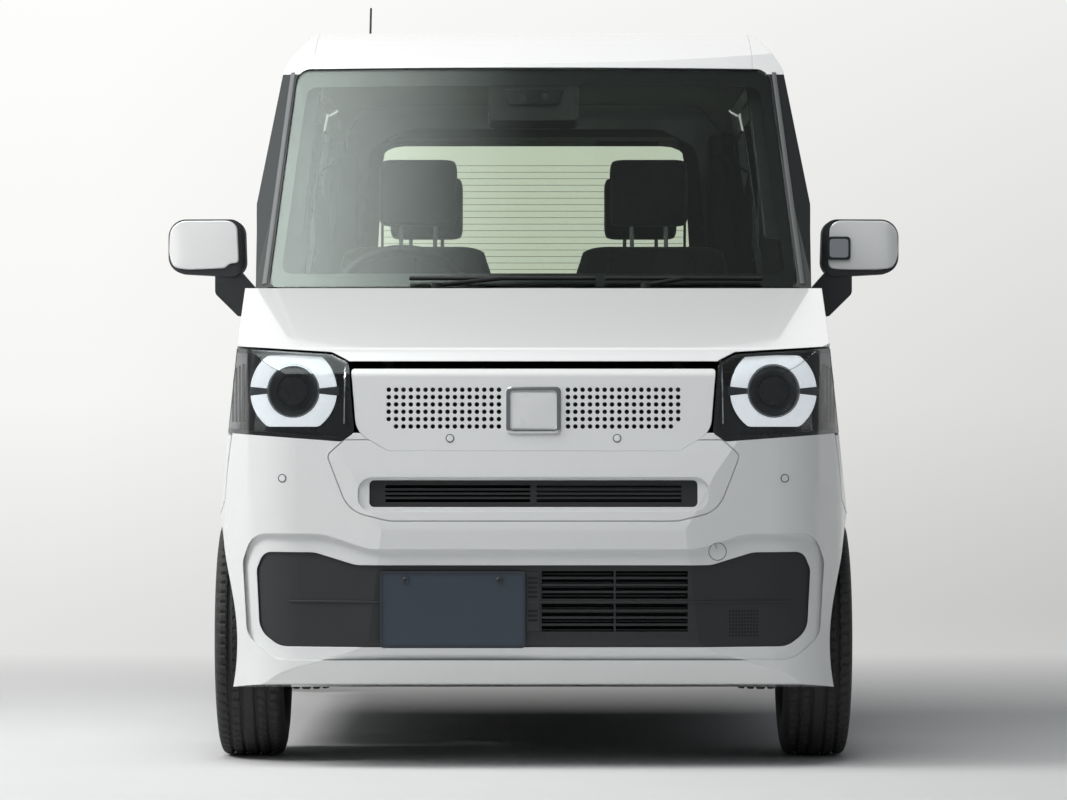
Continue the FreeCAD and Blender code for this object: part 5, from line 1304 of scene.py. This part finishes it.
# Rear lamps: ribbed red plastic with a field for the white reversing lamp at the foot, an amber turn
# lamp above it and a rim round the brake lamp. They are screwed to the body sides from within.
ribbed = dict(patch=20.0, grain=400.0, depth=0.00020, Coat_Weight=1.0)
red_ribs = finish_of("red rib plastic", (0.36, 0.010, 0.010), (0.48, 0.020, 0.020), 0.18, change=0.6, **ribbed)
white_ribs = finish_of("reversing lamp plastic", (0.72, 0.73, 0.74), (0.60, 0.61, 0.62), 0.16, change=0.5, **ribbed)
amber_ribs = finish_of("turn lamp plastic", (0.70, 0.27, 0.03), (0.80, 0.36, 0.06), 0.16, change=0.5, **ribbed)
dress(("tail_lamps",), red_ribs)
tail_skin = skin_of("tail_lamps")
for name, side in sides:
    for field, z_low, z_high, finish in (("reversing", 0.830, 0.895, white_ribs), ("turn", 0.915, 0.985, amber_ribs)):
        shape = outline_of(span(side * 0.624, side * 0.690, z_low, z_high), 0.012, 0.015)
        plate_on("%s_lamp_%s" % (field, name), tail_skin, shape, 0.0016, 0.003, finish, "body", "red_lens",
                 toward=-1.0, rings=4, crown=0.0006, soft=0.001)
    rim = outline_of(span(side * 0.624, side * 0.692, 1.010, 1.212), 0.014, 0.015)
    band_on("brake_lamp_rim_" + name, tail_skin, rim, drawn_in(rim, 0.006, 0.006, 0.006), 0.0012, 0.002, red_ribs,
            "body", "red_lens", toward=-1.0, rows=1)


# Tailgate: one outer pressing with a blank number plate, a lamp bar above the plate and a cap over
# the wiper's pivot. The bumper below carries two reflectors, a black insert and four sensors.
hit = struck(gate_skin, (0, 3.0, 0.735), (0, -1, 0), 1.6)
gate_plate_y = (hit.y if hit else 1.680) + 0.0035
flat_plate("rear_plate", Vector((0.0, 0.735)), Vector((0.163, 0.0815)), gate_plate_y + 0.001, gate_plate_y - 0.0015,
           0.010, plate_blue, "tailgate", toward=-1.0, soft=0.0008)
bar_face = outline_of(span(-0.240, 0.240, 0.850, 0.892), 0.012, 0.03)
plate_on("plate_lamp_bar", gate_skin, bar_face, 0.0070, 0.009, black_plastic, "tailgate", "black_trim", toward=-1.0,
         rings=3, crown=0.001, soft=0.002)
cap_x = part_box("rear_wiper")[1].x - 0.012
plate_on("rear_wiper_cap", gate_skin, round_outline(cap_x, 1.121, 0.017, 28), 0.0100, 0.012, black_plastic,
         "tailgate", "black_trim", toward=-1.0, rings=3, crown=0.003, soft=0.002)
rear_bumper_skin = skin_of("rear_bumper")
for name, side in sides:
    shape = outline_of(span(side * 0.500, side * 0.600, 0.372, 0.398), 0.006, 0.015)
    plate_on("rear_reflector_" + name, rear_bumper_skin, shape, 0.0016, 0.003, red_ribs, "body", "red_lens",
             toward=-1.0, rings=2, crown=0.0004, soft=0.0008)
lower_shape = outline_of([(-0.480, 0.242), (0.480, 0.242), (0.440, 0.302), (-0.440, 0.302)], 0.014, 0.03)
plate_on("rear_bumper_insert", rear_bumper_skin, lower_shape, 0.0004, 0.003, black_plastic, "body", "black_trim",
         toward=-1.0, rings=3, soft=0.001)
for x in (-0.46, -0.16, 0.16, 0.46):
    plate_on("rear_sensor_" + place_name(x), rear_bumper_skin, round_outline(x, 0.425, 0.0085), 0.0004, 0.002,
             panel_paint, "body", "body_paint", toward=-1.0, rings=2)


# Front door cards: grained dark plastic pressed over the doors' inner faces, each with a cloth insert, an
# armrest to lean on and a pocket below; clips hold them to the door.
def card_laid(skin, side, points, lift):
    """Points (y, z) carried onto a door's inner face, then lifted towards the cabin."""
    hits = [struck(skin, (side * 0.30, y, z), (side, 0, 0), 0.6) for y, z in points]
    return [Vector(((hit.x if hit else side * 0.66) - side * lift, y, z)) for hit, (y, z) in zip(hits, points)]


def card_plate(name, skin, side, corners, radius, base, lift, soft, material, slot):
    """Rounded plate (y, z) on a door's inner face, from the base height up to the lift, its edge softened."""
    outline = outline_of(corners, radius, 0.03)
    rows = [card_laid(skin, side, outline, base), card_laid(skin, side, outline, lift - soft),
            card_laid(skin, side, drawn_in(outline, soft, soft, soft), lift)]
    rows += [card_laid(skin, side, shrunk(outline, share), lift) for share in (0.7, 0.4, 0.02)]
    return layered(name, rows, material, "front_door_" + name.rsplit("_", 1)[1], slot, 40.0)


card_parts = (
    ("door_card", ((-0.555, 0.350), (0.060, 0.350), (0.070, 1.015), (-0.565, 1.015)), 0.040, -0.002, 0.010, 0.004,
     trim_plastic, "interior_plastic"),
    ("door_card_insert", span(-0.500, 0.020, 0.740, 0.930), 0.030, 0.006, 0.015,
     0.004, seat_cloth, "interior_plastic"),
    ("door_armrest", ((-0.480, 0.640), (0.030, 0.650), (0.030, 0.705), (-0.480, 0.695)), 0.020, 0.006, 0.058, 0.010,
     trim_plastic, "interior_plastic"),
    ("door_pocket", ((-0.500, 0.380), (0.000, 0.380), (0.000, 0.520), (-0.500, 0.500)), 0.025, 0.006, 0.040, 0.008,
     trim_plastic, "interior_plastic"))
for name, side in sides:
    door_inner = skin_of("front_door_" + name)
    for part, corners, radius, base, lift, soft, material, slot in card_parts:
        card_plate(part + "_" + name, door_inner, side, corners, radius, base, lift, soft, material, slot)


# Studio: a pale paper floor that rises into a backdrop behind the car. It glows by itself behind the
# car, for the eye and for mirrors and glass, and is clear from its back. The glow is darker towards
# the car's left and towards its foot: painted shade, as of the light from the car's right falling off.
def sweep():
    """Mesh of the paper: level in front of the car, then a quarter round up into the backdrop."""
    steps = [(y, 0.0) for y in (-40.0, -16.0, -6.0, 3.0)]
    for index in range(13):
        turn = math.radians(90 * index / 12)
        steps.append((6.0 + 4.0 * math.sin(turn), 4.0 - 4.0 * math.cos(turn)))
    steps.append((10.0, 14.0))
    verts = [(x, y, z) for x in (-30.0, -10.0, 10.0, 30.0) for y, z in steps]
    count = len(steps)
    faces = []
    for column in range(3):
        for row in range(count - 1):
            first = column * count + row
            faces.append((first, first + count, first + count + 1, first + 1))
    mesh = bpy.data.meshes.new("studio_sweep")
    mesh.from_pydata(verts, [], faces)
    mesh.shade_smooth()
    return mesh


def ranged(tree, value, first, last, **settings):
    """Share of the way from a first value to a last one."""
    return node(tree, "ShaderNodeMapRange", {"Value": value, "From Min": first, "From Max": last},
                **settings).outputs["Result"]


def sweep_material():
    """Matt paper that glows behind the car, less towards the car's left and towards its foot, as painted shade."""
    material, tree, shader = new_material("studio paper")
    shader["Roughness"].default_value = 0.85
    shader["Specular IOR Level"].default_value = 0.1
    place = object_place(tree)
    parts = node(tree, "ShaderNodeSeparateXYZ", {0: place}).outputs
    noise = node(tree, "ShaderNodeTexNoise", {"Vector": place, "Scale": 1.6}).outputs["Fac"]
    tree.links.new(blended(tree, noise, (0.68, 0.69, 0.69, 1), (0.72, 0.72, 0.715, 1)), shader["Base Color"])
    height = ranged(tree, parts["Z"], 0.0, 3.0)
    ramps = []
    # Bright and dim ends of the glow, from foot to top: painted light and shade across the backdrop.
    for low, middle, high in ((0.78, 0.93, 1.00), (0.52, 0.67, 0.87)):
        ramp = node(tree, "ShaderNodeValToRGB", {"Fac": height})
        elements = ramp.color_ramp.elements
        elements[0].color = (low, low, low * 0.99, 1)
        elements[1].color = (high, high, high * 0.985, 1)
        elements.new(0.28).color = (middle, middle, middle * 0.985, 1)
        ramps.append(ramp.outputs["Color"])
    glow = node(tree, "ShaderNodeEmission", {"Color": blended(tree, ranged(tree, parts["X"], -2.0, 3.0), *ramps)})
    rays = node(tree, "ShaderNodeLightPath").outputs
    seen = maths(tree, "MAXIMUM", rays["Is Camera Ray"], rays["Is Glossy Ray"])
    seen = maths(tree, "MAXIMUM", seen, rays["Is Transmission Ray"])
    share = maths(tree, "MULTIPLY", seen, ranged(tree, parts["Y"], 0.2, 3.2))
    blend = node(tree, "ShaderNodeMixShader", {
        "Fac": share, 1: tree.nodes["Principled BSDF"].outputs[0], 2: glow.outputs[0]})
    clear = node(tree, "ShaderNodeBsdfTransparent")
    back = node(tree, "ShaderNodeNewGeometry").outputs["Backfacing"]
    open_back = node(tree, "ShaderNodeMixShader", {"Fac": back, 1: blend.outputs[0], 2: clear.outputs[0]})
    tree.links.new(open_back.outputs[0], tree.nodes["Material Output"].inputs["Surface"])
    return material


backdrop = shown("studio_sweep", sweep())
backdrop.data.materials.append(sweep_material())


# Reflector: a card overhead whose glow fades to nothing at its rear edge and towards the car's left; only
# mirrored and refracted rays see it, so it greys the windscreen softly and leaves the light as it is.
card_height, card_front, card_rear, card_side, card_glow = 6.2, -5.0, 1.2, 3.2, 6.6
rear_fade, side_fade_start, side_fade_end, least_glow = 2.4, 0.1, -2.6, 0.03


def card_material():
    """Light whose strength fades along the card both ways."""
    material, tree = new_material("reflector card")[:2]
    tree.nodes.remove(tree.nodes["Principled BSDF"])
    parts = node(tree, "ShaderNodeSeparateXYZ", {0: object_place(tree)}).outputs
    fades = []
    for axis, first, last, rest in (("Y", card_rear, card_rear - rear_fade, 0.0),
                                    ("X", side_fade_start, side_fade_end, least_glow)):
        fades.append(node(tree, "ShaderNodeMapRange", {
            "Value": parts[axis], "From Min": first, "From Max": last, "To Min": rest},
            interpolation_type="SMOOTHSTEP").outputs["Result"])
    power = maths(tree, "MULTIPLY", maths(tree, "MULTIPLY", *fades), card_glow)
    glow = node(tree, "ShaderNodeEmission", {"Color": (0.92, 1.0, 0.98, 1), "Strength": power})
    tree.links.new(glow.outputs[0], tree.nodes["Material Output"].inputs["Surface"])
    return material


card_mesh = bpy.data.meshes.new("reflector_card")
card_mesh.from_pydata([(x, y, card_height) for x, y in (
    (-card_side, card_front), (card_side, card_front), (card_side, card_rear), (-card_side, card_rear))],
    [], [(0, 3, 2, 1)])
card = shown("reflector_card", card_mesh)
card_mesh.materials.append(card_material())
card.visible_camera = False
card.visible_diffuse = False
card.visible_shadow = False


# Lights: a broad soft lamp at the car's right hand, a weaker one overhead that neither paint nor glass
# mirrors, and a faint even light from all sides.
world = bpy.data.worlds.new("studio")
bpy.context.scene.world = world
world.use_nodes = True
world_light = world.node_tree.nodes["Background"].inputs
world_light["Color"].default_value = (0.90, 0.95, 1.0, 1)
world_light["Strength"].default_value = 0.20
lamp_target = Vector((0, -1.0, 0.9))


def soft_lamp(name, place, size, power, tint):
    """Square lamp turned to the car's nose."""
    light = bpy.data.lights.new(name, "AREA")
    light.shape = "RECTANGLE"
    light.size = light.size_y = size
    light.energy = power
    light.color = tint
    lamp = shown(name, light)
    lamp.location = place
    lamp.rotation_euler = (lamp_target - Vector(place)).to_track_quat("-Z", "Y").to_euler()
    return lamp


soft_lamp("key_lamp", (-5.2, -2.2, 4.7), 2.6, 300, (1.0, 0.99, 0.98))
top_lamp = soft_lamp("top_lamp", (-0.8, -3.0, 5.0), 3.6, 150, (1.0, 1.0, 1.0))
top_lamp.visible_glossy = False
top_lamp.visible_transmission = False


# Camera: a long lens level with the bonnet, far in front of the nose, as the photo was taken.
camera_distance, eye_height, lens_length = 12.2, 0.82, 158.34
camera_data = bpy.data.cameras.new("photo_camera")
camera_data.sensor_width = 36.0
camera_data.lens = lens_length
camera_data.shift_y = 0.00375
camera_data.clip_end = 200.0
camera = shown("photo_camera", camera_data)
camera.location = (0.0, -camera_distance, eye_height)
camera.rotation_euler = (math.radians(90), 0, 0)
bpy.context.scene.camera = camera
bpy.context.scene.view_settings.view_transform = "Standard"
